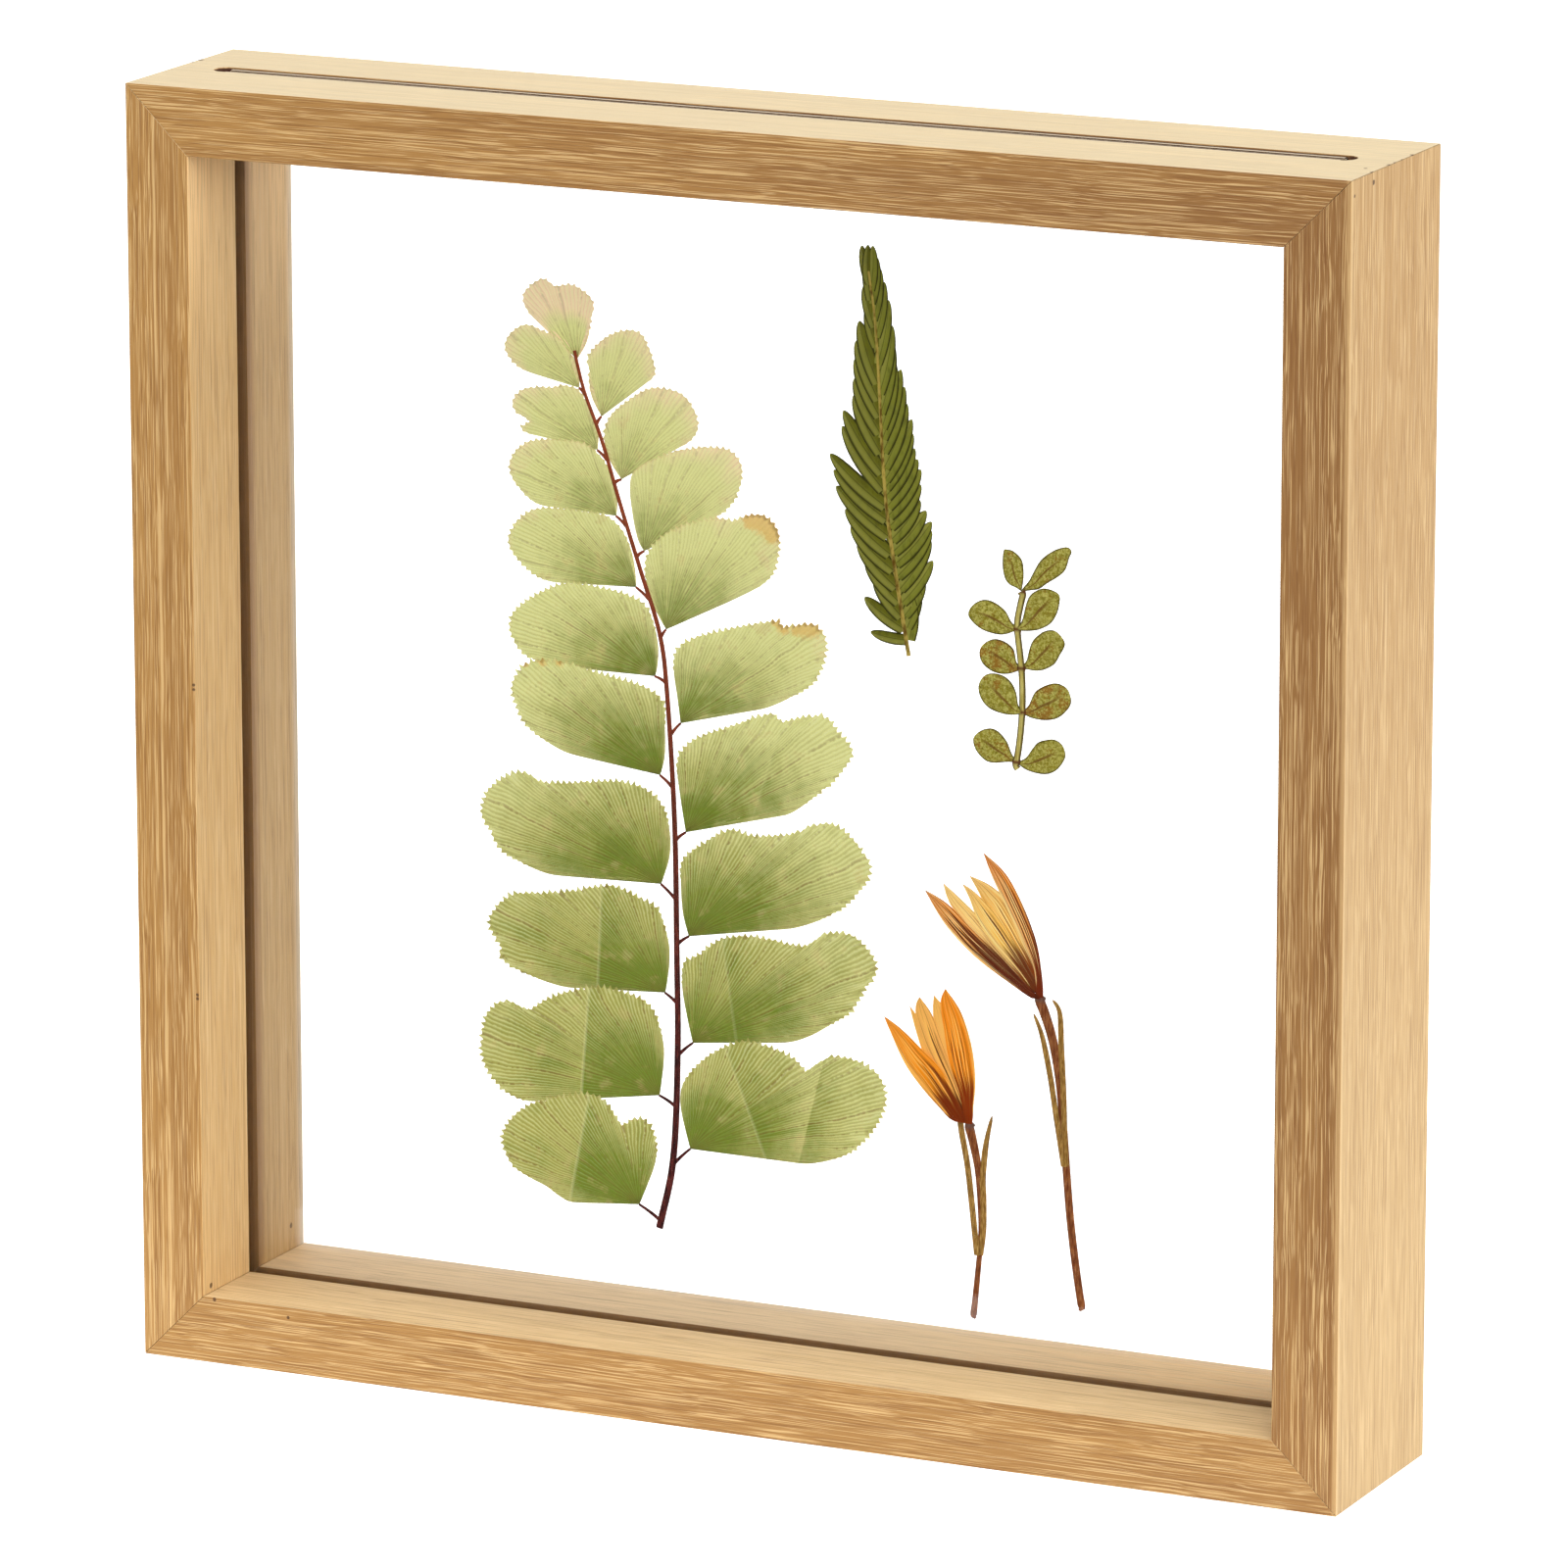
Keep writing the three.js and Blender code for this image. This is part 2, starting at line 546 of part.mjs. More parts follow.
// Flowers: a stem, two long narrow leaves, and five petals in layers. layer counts from the front one
// back, and foot is the width of a petal where it starts. The outer petals lie in front of the stem's top.
const tallFlower = {
  name: 'tall_flower',
  stemRoute: [[44.2, 69.3], [46.3, 63.7], [47.6, 57.4], [48.3, 50.5], [49.4, 37.3], [50.4, 29], [51.6, 21.3]],
  stemWidths: [1.15, 0.85],
  petals: [
    {
      name: 'outer_left', layer: 0, base: [44.05, 69], foot: 1.1, tip: [-18.4, 14.9],
      rise: [[-5, 2.3], [-10.2, 5.5], [-15, 9.9]],
      fall: [[-14.6, 13.1], [-10.4, 9.5], [-6.4, 6.3], [-2.2, 2.5]],
    },
    {
      name: 'inner_left', layer: 4, base: [44, 69.8], foot: 0.7, tip: [-15.6, 15.3],
      rise: [[-4.8, 2.9], [-10.8, 8.1], [-14.4, 12.1]],
      fall: [[-12.4, 12.9], [-9.2, 10.1], [-5.8, 6.1], [-2, 2.2]],
    },
    {
      name: 'middle', layer: 2, base: [44.1, 69.8], foot: 0.8, tip: [-12.4, 15.6],
      rise: [[-3, 2.8], [-7, 6.6], [-9.8, 10.2], [-11.2, 13.4]],
      fall: [[-10.2, 14.4], [-6.8, 11.4], [-3.2, 6.6], [-0.8, 2.6]],
    },
    {
      name: 'inner_right', layer: 3, base: [44.2, 69.9], foot: 0.9, tip: [-11.4, 16.8],
      rise: [[-2.2, 3.4], [-5, 7.2], [-8.4, 11.8], [-10, 14.6]],
      fall: [[-9, 16.1], [-7, 15.1], [-4.9, 13.3], [-1.9, 7.8], [0.1, 3]],
    },
    {
      name: 'outer_right', layer: 1, base: [44.5, 69.2], foot: 0.9, tip: [-9.3, 21.4],
      rise: [[-0.9, 4.2], [-2.7, 8], [-5.5, 13.4], [-7.9, 18]],
      fall: [[-5.7, 18.6], [-2.9, 14.2], [-0.5, 8.4], [0.4, 3.2]],
    },
  ],
  leaves: [
    {
      name: 'left', route: [[43.6, 66.7], [45, 63.4], [46.4, 57.2], [47.5, 50.5], [48.7, 43.5]],
      width: 0.95, tipShare: 0.45, depths: [-0.38, -0.38],
    },
    {
      name: 'right', route: [[46.6, 69.1], [47.8, 67.2], [48.1, 62], [48.5, 55], [48.7, 49], [48.9, 43.5]],
      width: 0.95, tipShare: 0.35, depths: [-0.2, -0.2],
    },
  ],
};
const shortFlower = {
  name: 'short_flower',
  stemRoute: [[32.8, 48.4], [34.3, 42], [34.8, 36], [34.9, 31], [34.4, 24.9], [33.7, 17.9]],
  stemWidths: [1.1, 0.75],
  petals: [
    {
      name: 'outer_left', layer: 0, base: [31.75, 48.4], foot: 1.3, tip: [-12.8, 15.2],
      rise: [[-2.4, 1], [-5.8, 4], [-9.2, 8], [-11.8, 13]],
      fall: [[-9.8, 13.4], [-6.4, 10.6], [-3.2, 7.8], [-0.6, 3.4]],
    },
    {
      name: 'inner_left', layer: 4, base: [32.3, 48.9], foot: 0.8, tip: [-9.4, 16.6],
      rise: [[-3.6, 3.8], [-6.8, 8.8], [-8.4, 13]], fall: [[-7.6, 14.4], [-5.8, 11.2], [-3.6, 7.6], [-1, 3]],
    },
    {
      name: 'middle', layer: 2, base: [32.5, 48.9], foot: 0.9, tip: [-7.8, 18.2],
      rise: [[-3.4, 5.2], [-6.2, 9.4], [-8.2, 14.6], [-8.4, 16.8]],
      fall: [[-5.8, 15.8], [-4.2, 12], [-2.4, 7.6], [-0.6, 2.6]],
    },
    {
      name: 'inner_right', layer: 3, base: [32.7, 49], foot: 0.8, tip: [-5.7, 18.6],
      rise: [[-2.4, 5.4], [-4.8, 10.4], [-5.8, 15.4]],
      fall: [[-3.8, 16.4], [-2.6, 12], [-1.4, 7], [-0.2, 2.6]],
    },
    {
      name: 'outer_right', layer: 1, base: [32.85, 48.3], foot: 1, tip: [-3.8, 20.6],
      rise: [[-1.2, 4], [-3, 9], [-4, 14.2], [-4.6, 18.4]],
      fall: [[-1.2, 17.2], [0.6, 12], [1.2, 6.6], [0.8, 2.4]],
    },
  ],
  leaves: [
    {
      name: 'left', route: [[31.2, 49.6], [31.5, 47], [32.6, 41.8], [33.5, 35.6], [34.5, 28]],
      width: 1, tipShare: 0.15, depths: [0.44, -0.42],
    },
    {
      name: 'right', route: [[36.8, 50], [35.8, 45.4], [35.3, 40.3], [35.4, 37], [35.4, 32], [34.9, 28]],
      width: 1, tipShare: 0.3, depths: [-0.15, -0.15],
    },
  ],
};
const flowerStemSetBack = 0.1;
const frontPetalY = -0.4;

// A long narrow leaf: its width grows from a point over the first tipShare of its length, then stays.
function longLeaf({ route, width, tipShare, depths }) {
  const widthAt = (share) => width * Math.min(1, 0.08 + Math.sqrt(share / tipShare));
  const fall = route[0][1] - route[route.length - 1][1];
  const slope = (depths[1] - depths[0]) / fall;
  return lean(plate(ribbonOutline(route, 4, widthAt), bractThickness, depths[0]), route[0][1], slope);
}

function addFlower({ name, stemRoute, stemWidths, petals, leaves }) {
  const stem = plate(ribbonOutline(stemRoute, 3, taper(stemWidths)), flowerStemThickness, flowerStemSetBack);
  addPiece(`${name}_stem`, stem, finish('#7a4426', 0.6));
  petals.forEach((petal) => {
    const outline = pointedOutline(petal.base, petal.foot, petal.rise, petal.tip, petal.fall, 3);
    const blade = plate(outline, petalThickness, frontPetalY + petalPitch * petal.layer);
    addPiece(`${name}_petal_${petal.name}`, blade, finish('#d98a2b', 0.6));
  });
  leaves.forEach((leaf) => {
    addPiece(`${name}_leaf_${leaf.name}`, longLeaf(leaf), finish('#b08a45', 0.7));
  });
}

addRails();
addPanes();
addFern();
addFeatherLeaf();
addSprig();
addFlower(tallFlower);
addFlower(shortFlower);

export default group;
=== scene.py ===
from math import cos, pi, radians, sin

import bmesh
import bpy
import numpy as np
from mathutils import Matrix, Vector


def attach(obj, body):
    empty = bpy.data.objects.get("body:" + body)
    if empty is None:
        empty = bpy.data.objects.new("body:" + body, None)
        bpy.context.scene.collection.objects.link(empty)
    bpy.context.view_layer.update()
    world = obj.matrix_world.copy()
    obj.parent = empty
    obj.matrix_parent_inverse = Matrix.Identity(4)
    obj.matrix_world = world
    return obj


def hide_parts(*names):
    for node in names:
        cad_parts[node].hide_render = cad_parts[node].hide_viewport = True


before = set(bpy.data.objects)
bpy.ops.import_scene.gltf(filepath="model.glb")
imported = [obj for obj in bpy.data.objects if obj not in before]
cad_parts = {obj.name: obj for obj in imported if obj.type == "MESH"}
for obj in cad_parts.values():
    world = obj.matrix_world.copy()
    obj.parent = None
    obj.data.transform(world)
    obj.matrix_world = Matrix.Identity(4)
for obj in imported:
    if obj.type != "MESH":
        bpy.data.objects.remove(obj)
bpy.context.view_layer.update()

scene = bpy.context.scene
mm = 0.001
rng = np.random.default_rng(7)


def clamp(values):
    return np.clip(values, 0, 1)


def bell(values, width):  # exp(-(value / width)^2)
    return np.exp(-(values / width) ** 2)


class Wire:  # a socket's value: a sum on it adds Math nodes to its material
    def __init__(self, graph, socket):
        self.graph = graph
        self.socket = socket

    def __add__(self, other):
        return self.graph.math("ADD", self, other)

    def __sub__(self, other):
        return self.graph.math("SUBTRACT", self, other)

    def __rsub__(self, other):
        return self.graph.math("SUBTRACT", other, self)

    def __mul__(self, other):
        return self.graph.math("MULTIPLY", self, other)

    def __truediv__(self, other):
        return self.graph.math("DIVIDE", self, other)

    def __abs__(self):
        return self.graph.math("ABSOLUTE", self)

    __radd__ = __add__
    __rmul__ = __mul__

    def ease(self, low, high, start=0.0, end=1.0):  # a smooth step from start at low to end at high
        values = {0: self, 1: low, 2: high, 3: start, 4: end}
        return self.graph.result("MapRange", values, {"interpolation_type": "SMOOTHSTEP"})

    def mix(self, first, second):  # the first colour where this is 0, the second where it is 1
        values = {0: self, 6: linear(first), 7: linear(second)}
        return self.graph.result("Mix", values, {"data_type": "RGBA"}, 2)


class Graph:  # one material's nodes
    def __init__(self, tree):
        self.tree = tree
        self.tree.nodes.clear()

    def node(self, kind, values=None, settings=None):  # a value is a socket's number, colour or wire
        made = self.tree.nodes.new("ShaderNode" + kind)
        for key, value in (settings or {}).items():
            setattr(made, key, value)
        for key, value in (values or {}).items():
            if isinstance(value, Wire):
                self.tree.links.new(value.socket, made.inputs[key])
            else:
                made.inputs[key].default_value = value
        return made

    def wire(self, node, output=0):
        return Wire(self, node.outputs[output])

    def result(self, kind, values=None, settings=None, output=0):
        return self.wire(self.node(kind, values, settings), output)

    def math(self, operation, *values):
        return self.result("Math", dict(enumerate(values)), {"operation": operation})

    def vector(self, operation, first, second, output=0):
        return self.result("VectorMath", {0: first, 1: second}, {"operation": operation}, output)

    def stretch(self, vector, factors):
        return self.vector("MULTIPLY", vector, factors)

    def shift(self, vector, by):
        return self.vector("ADD", vector, by)

    def axes(self, vector):
        parts = self.node("SeparateXYZ", {0: vector})
        return [self.wire(parts, k) for k in range(3)]

    def join(self, x, y, z=0.0):
        return self.result("CombineXYZ", {0: x, 1: y, 2: z})

    def noise(self, point, scale=1.0, detail=2.0, rough=0.5):
        values = {"Vector": point, "Scale": scale, "Detail": detail, "Roughness": rough}
        return self.result("TexNoise", values)

    def coordinates(self, kind):
        return self.result("TexCoord", output=kind)

    def place(self):  # the point's place in millimetres
        return self.stretch(self.coordinates("Object"), (1 / mm,) * 3)

    def facing(self):  # the surface's own direction
        return self.axes(self.coordinates("Normal"))

    def uv(self):
        return self.axes(self.coordinates("UV"))[:2]

    def attribute(self, name):
        return self.result("Attribute", settings={"attribute_name": name}, output="Fac")

    def show(self, shader):
        self.node("OutputMaterial", {"Surface": shader})

    def surface(self, colour, roughness, height=None, depth=0.0, **fixed):  # the depth in millimetres
        values = {"Base Color": colour, "Roughness": roughness, **fixed}
        if height is not None:
            bump = {"Strength": 1.0, "Distance": depth * mm, "Height": height}
            values["Normal"] = self.result("Bump", bump)
        self.show(self.result("BsdfPrincipled", values))

    def leafSurface(self, colour, roughness, height, depth):  # dull, with a painted glow: an emission of its own colour that stands in for the light behind it shining through
        fixed = {"Specular IOR Level": 0.02, "Emission Color": colour, "Emission Strength": 0.17}
        self.surface(colour, roughness, height, depth, **fixed)


def material(name):
    made = bpy.data.materials.new(name)
    made.use_nodes = True
    return made, Graph(made.node_tree)


def linear(colour):  # a display colour from 0 to 255 made linear; a wire or a linear colour of four stays
    if isinstance(colour, Wire) or len(colour) == 4:
        return colour
    share = np.array(colour) / 255
    made = np.where(share <= 0.04045, share / 12.92, ((share + 0.055) / 1.055) ** 2.4)
    return (*made.tolist(), 1.0)


def grey(level):
    return (level, level, level, 1.0)


def addPiece(name, mesh, paint, slot, *nodes):
    piece = bpy.data.objects.new(name, mesh)
    scene.collection.objects.link(piece)
    mesh.materials.append(paint)
    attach(piece, "root")
    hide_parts(*nodes)
    return piece


def gridFaces(rows, columns):
    index = np.arange(rows * columns).reshape(rows, columns)
    corners = [index[:-1, :-1], index[1:, :-1], index[1:, 1:], index[:-1, 1:]]
    return np.stack(corners, axis=-1).reshape(-1, 4)


def gridUv(across, along):
    return np.stack(np.broadcast_arrays(across[None], along[:, None]), axis=-1)


def mergedShape(mesh):
    shape = bmesh.new()
    shape.from_mesh(mesh)
    bmesh.ops.remove_doubles(shape, verts=shape.verts, dist=1e-6)
    return shape


def finishMesh(mesh, shape, sharpAngle):
    shape.to_mesh(mesh)
    shape.free()
    mesh.shade_smooth()
    mesh.set_sharp_from_angle(angle=radians(sharpAngle))


# A new piece named after its CAD node, from parts: points, faces, and a UV place for each point.
def addSurface(node, ending, paint, slot, parts, extra=None):
    name = f"{node}_{ending}"
    points, faces, uv = parts
    mesh = bpy.data.meshes.new(name)
    mesh.from_pydata(points.tolist(), [], faces.tolist())
    layer = mesh.uv_layers.new(name="UVMap")
    layer.data.foreach_set("uv", uv[faces.reshape(-1)].reshape(-1).astype(np.float32))
    for key, values in (extra or {}).items():
        mesh.attributes.new(key, "FLOAT", "POINT").data.foreach_set("value", values.astype(np.float32))
    shape = mergedShape(mesh)
    bmesh.ops.dissolve_degenerate(shape, edges=shape.edges, dist=1e-7)
    bmesh.ops.recalc_face_normals(shape, faces=shape.faces)
    finishMesh(mesh, shape, 50)
    addPiece(name, mesh, paint, slot, node)


# A thin sheet: a front grid and a back grid of the same points, joined along their border.
def sheetParts(front, back, uv):
    rows, columns = front.shape[:2]
    count = rows * columns
    points = np.concatenate([front.reshape(-1, 3), back.reshape(-1, 3)])
    index = np.arange(count).reshape(rows, columns)
    ring = np.concatenate([index[0, :-1], index[:-1, -1], index[-1, :0:-1], index[:0:-1, 0]])
    onward = np.roll(ring, -1)
    rim = np.stack([ring, onward, onward + count, ring + count], axis=1)
    quads = gridFaces(rows, columns)
    return points, np.concatenate([quads, quads[:, ::-1] + count, rim]), np.tile(uv.reshape(-1, 2), (2, 1))


def joinParts(parts):
    points, faces, uv = zip(*parts)
    starts = np.cumsum([0] + [len(place) for place in points[:-1]])
    faces = [quads + start for quads, start in zip(faces, starts)]
    return np.concatenate(points), np.concatenate(faces), np.concatenate(uv)


# Even steps along a line of points.
def evenSteps(points, count):
    length = np.r_[0, np.cumsum(np.linalg.norm(np.diff(points, axis=0), axis=1))]
    want = np.linspace(0, length[-1], count)
    return np.stack([np.interp(want, length, axis) for axis in points.T], axis=1)


# A smooth curve through the points, each stretch a cubic whose slopes at its ends follow the points
# on both sides, taken at even steps.
def curveThrough(points, count):
    points = np.asarray(points, float)
    padded = np.vstack([2 * points[0] - points[1], points, 2 * points[-1] - points[-2]])
    t = np.linspace(0, len(points) - 1, 10 * len(points))
    i = np.minimum(t.astype(int), len(points) - 2)
    f = (t - i)[:, None]
    a, b, c, d = (padded[i + k] for k in range(4))
    line = b + 0.5 * f * (c - a + f * (2 * a - 5 * b + 4 * c - d + f * (3 * (b - c) + d - a)))
    return evenSteps(line, count)


# The front face of a flat CAD node: its border as x and z in millimetres, and the plane
# y = level + slope * z that runs through the node's middle.
def borderOf(node):
    shape = mergedShape(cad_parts[node].data)
    shape.verts.index_update()
    points = np.array([corner.co[:] for corner in shape.verts]) / mm
    faces = [[corner.index for corner in face.verts] for face in shape.faces]
    shape.free()
    slope, level = np.polyfit(points[:, 2], points[:, 1], 1)
    inFront = points[:, 1] < slope * points[:, 2] + level
    edges = [pair for face in faces if inFront[face].all() for pair in zip(face, face[1:] + face[:1])]
    known = set(edges)
    onward = {first: second for first, second in edges if (second, first) not in known}
    walk = [next(iter(onward))]
    while onward[walk[-1]] != walk[0]:
        walk.append(onward[walk[-1]])
    return points[walk][:, [0, 2]], slope, level


def lift(flat, plane, depth):  # x and z in millimetres, laid on a leaning plane, in metres
    slope, level = plane
    y = level + slope * flat[..., 1] + depth
    return np.stack([flat[..., 0], y, flat[..., 1]], axis=-1) * mm


# A thin blade on its node's plane. Its middle lies a depth behind the plane, and half is half its
# thickness.
def addBlade(node, paint, slot, flat, plane, depth, half, uv, extra=None):
    parts = sheetParts(lift(flat, plane, depth - half), lift(flat, plane, depth + half), uv)
    extra = {key: np.tile(values.reshape(-1), 2) for key, values in (extra or {}).items()}
    addSurface(node, "blade", paint, slot, parts, extra)


def lowest(border):
    return np.argmin(border[:, 1])


def highest(border):
    return np.argmax(border[:, 1])


# The two edges of a blade from its foot to its tip, the one further left first. A level foot is left
# out of both, so that each starts at its own corner.
def twoEdges(border, foot, tip, count):
    border = np.roll(border, -foot, axis=0)
    tip = (tip - foot) % len(border)
    rise = border[:tip + 1]
    fall = np.vstack([border[tip:], border[:1]])[::-1]
    if abs(rise[0, 1] - rise[1, 1]) < 0.001:
        rise = rise[1:]
    elif abs(fall[0, 1] - fall[1, 1]) < 0.001:
        fall = fall[1:]
    if rise[:, 0].mean() > fall[:, 0].mean():
        rise, fall = fall, rise
    return curveThrough(rise, count), curveThrough(fall, count)


# A two-edged blade: straight lines join its two edges, and a share from 0 to 1 runs along each.
def bladeGrid(node, foot, tip, rows, columns):
    border, slope, level = borderOf(node)
    rise, fall = twoEdges(border, foot(border), tip(border), rows)
    v = np.linspace(0, 1, columns)
    flat = rise[:, None] * (1 - v)[None, :, None] + fall[:, None] * v[None, :, None]
    width = np.linalg.norm(rise - fall, axis=1)[:, None]
    edge = width * np.minimum(v, 1 - v)[None]
    return flat, (slope, level), gridUv(v, np.linspace(0, 1, rows)), edge


# A stem: the middle line and the half width come from the CAD ribbon's two edges.
def stemRoute(node, rows):
    border, slope, level = borderOf(node)
    rise, fall = twoEdges(border, lowest(border), highest(border), rows)
    middle = (rise + fall) / 2
    half = np.linalg.norm(rise - fall, axis=1) / 2
    return np.insert(middle, 1, level + slope * middle[:, 1], axis=1), half


view = {
    "azimuth": 25.248,
    "elevation": 13.426,
    "roll": -0.05,
    "place": (651.88, -1378.28, 461.37),
    "lens": 238.5,
    "sensor": 36.0,
    "reach": 50.0,
}


def addCamera():
    a, e = radians(view["azimuth"]), radians(view["elevation"])
    back = Vector((sin(a) * cos(e), -cos(a) * cos(e), sin(e)))
    right = Vector((cos(a), sin(a), 0.0))
    turn = Matrix((right, back.cross(right), back)).transposed()
    turn = turn @ Matrix.Rotation(radians(view["roll"]), 3, "Z")
    data = bpy.data.cameras.new("camera")
    data.lens = view["lens"]
    data.sensor_width = view["sensor"]
    data.clip_end = view["reach"]
    camera = bpy.data.objects.new("camera", data)
    camera.matrix_world = Matrix.Translation(Vector(view["place"]) * mm) @ turn.to_4x4()
    scene.collection.objects.link(camera)
    scene.camera = camera


studio = {
    "backdrop": 1.35,  # brightness of the white that shows behind the frame
    "sky": 0.9,  # light from above, all round
    "ground": 0.05,  # light from below the horizon
    "softbox": 2.6,  # extra light around the key direction
    "softboxEdge": 0.3,
    "key": (0.501, -0.622, 0.602),
    "floorColour": 0.3,
    "floorGlow": 0.6,
    "floorFront": 0.07,
    "floorReach": 12.0,
}


def seenDirectly(graph):  # 1 where a surface is seen directly or through glass, 0 where it lights another
    rays = graph.node("LightPath")
    turned = graph.wire(rays, "Diffuse Depth") + graph.wire(rays, "Glossy Depth")
    return 1 - graph.math("MINIMUM", turned, 1.0)


def addWorld():
    world = bpy.data.worlds.new("studio")
    world.use_nodes = True
    scene.world = world
    graph = Graph(world.node_tree)
    away = graph.coordinates("Generated")
    toKey = graph.vector("DOT_PRODUCT", away, studio["key"], "Value")
    softbox = toKey.ease(studio["softboxEdge"], 1.0) * studio["softbox"]
    light = graph.axes(away)[2].ease(-0.08, 0.12, studio["ground"], studio["sky"]) + softbox
    seen = seenDirectly(graph)
    strength = (1 - seen) * light + seen * studio["backdrop"]
    sky = graph.result("Background", {"Color": grey(1.0), "Strength": strength})
    graph.node("OutputWorld", {"Surface": sky})


def addFloor():
    paint, graph = material("floor_white")
    glow = seenDirectly(graph).mix(grey(studio["floorGlow"]), grey(studio["backdrop"]))
    fixed = {"Emission Color": glow, "Emission Strength": 1.0}
    graph.surface(grey(studio["floorColour"]), 0.9, **fixed)
    mesh = bpy.data.meshes.new("floor")
    reach, edge = studio["floorReach"], -studio["floorFront"]
    corners = [(-reach, edge, 0), (reach, edge, 0), (reach, reach, 0), (-reach, reach, 0)]
    mesh.from_pydata(corners, [], [(0, 1, 2, 3)])
    floor = bpy.data.objects.new("floor", mesh)
    mesh.materials.append(paint)
    scene.collection.objects.link(floor)


addCamera()
addWorld()
addFloor()
scene.view_settings.view_transform = "Standard"
print("camera and studio ready")

rail = {
    "arris": 0.4,  # rounding of the long outer edges
    "fineArris": 0.12,  # rounding at the mitres and along the pocket, as a width
    "pocketHalf": 2.2,
    "pocketEnd": 94.5,
    "front": (159, 118, 64),
    "frontDark": (130, 91, 48),
    "cream": (222, 188, 132),
    "brown": (104, 62, 28),
    "side": (170, 134, 85),  # the outer sides near the top, and near the bottom
    "sideLow": (186, 155, 109),
    "sideCream": (228, 200, 152),
    # painted light: the sides of the opening are lighter towards their upper ends, against the shade under
    # the top rail, and carry a painted highlight along their back edges
    "inner": (199, 161, 106),  # the sides of the opening, their upper ends and their back edges
    "innerTopLit": (246, 206, 148),
    "innerBackHighlight": (238, 226, 204),
    # the top rail's upper face, painted paler and greyer for the sheen it shows
    "top": (190, 172, 137),
    "sill": (200, 169, 122),  # the lower rail's upper side, in front of the panes and behind them
    "sillBack": (240, 208, 162),
    # painted light: lighter at the right end behind the panes, against the right side's shadow
    "sillRightLit": (250, 206, 144),  # and behind them at its right end
    # painted shade in the pocket that holds the panes: lighter at its back, dark at its front and in the top
    # slot
    "pocket": (176, 116, 62),
    "pocketShade": (66, 34, 18),
    # painted shadow: darker brown on the inner sides just behind the panes
    "paneShadow": (140, 88, 44),  # the inner sides just behind the panes
    "pit": (74, 46, 24),
    "wobble": 0.6,
    # the grain's length and width: broad bands, rows, and light, dark and long light lines
    "bands": (160, 2.6),
    "rows": (110, 0.3),
    "lightLines": (12, 0.15),
    "darkLines": (18, 0.17),
    "longLines": (60, 0.22),
    "figure": 0.42,  # how far the broad bands change the brown of a front
}
# How brown a rail's front is from 0 to 1, at its middle and how much more at its far end, its long pale
# streaks across the front as their middle line's place in x, and its chips, each a place and a radius.
railLooks = {
    "bottom": {
        "along": 0, "age": 0.35, "lean": 0.12,
        "pits": ((99.7, -1.9, 0.4, 0.7), (-74.7, -17.2, 8.9, 0.3), (-87.6, -17.2, 10.2, 0.35)),
    },
    "right": {
        "along": 2, "age": 0.9, "lean": 0.15,
        "pits": ((100, -8.9, 198.4, 0.5), (100, -16.1, 197.6, 0.3)),
    },
    "top": {
        "along": 0, "age": 0.5, "lean": 0.35,
        "pits": (
            (-99.8, 6.1, 199.8, 0.8), (-99.8, 3.6, 199.8, 0.4), (97.9, -6.9, 200, 0.36),
            (100, -9.3, 199.8, 0.6), (99.8, -2.7, 199.9, 0.5), (100, 2.2, 199.8, 0.4),
            (99.9, 6.4, 199.9, 0.6), (99.9, -0.6, 199.9, 0.3),
        ),
    },
    "left": {
        "along": 2, "age": 0.1, "lean": 0.0, "streaks": (-95.3,),
        "pits": (
            (-89.7, -17.2, 107.6, 0.3), (-89.7, -17.2, 106.9, 0.3), (-89.8, -17.2, 58.7, 0.3),
            (-89.8, -17.2, 58.1, 0.3), (-89.5, 12.9, 14.4, 0.5), (-89.6, -14.8, 11.6, 0.5),
        ),
    },
}


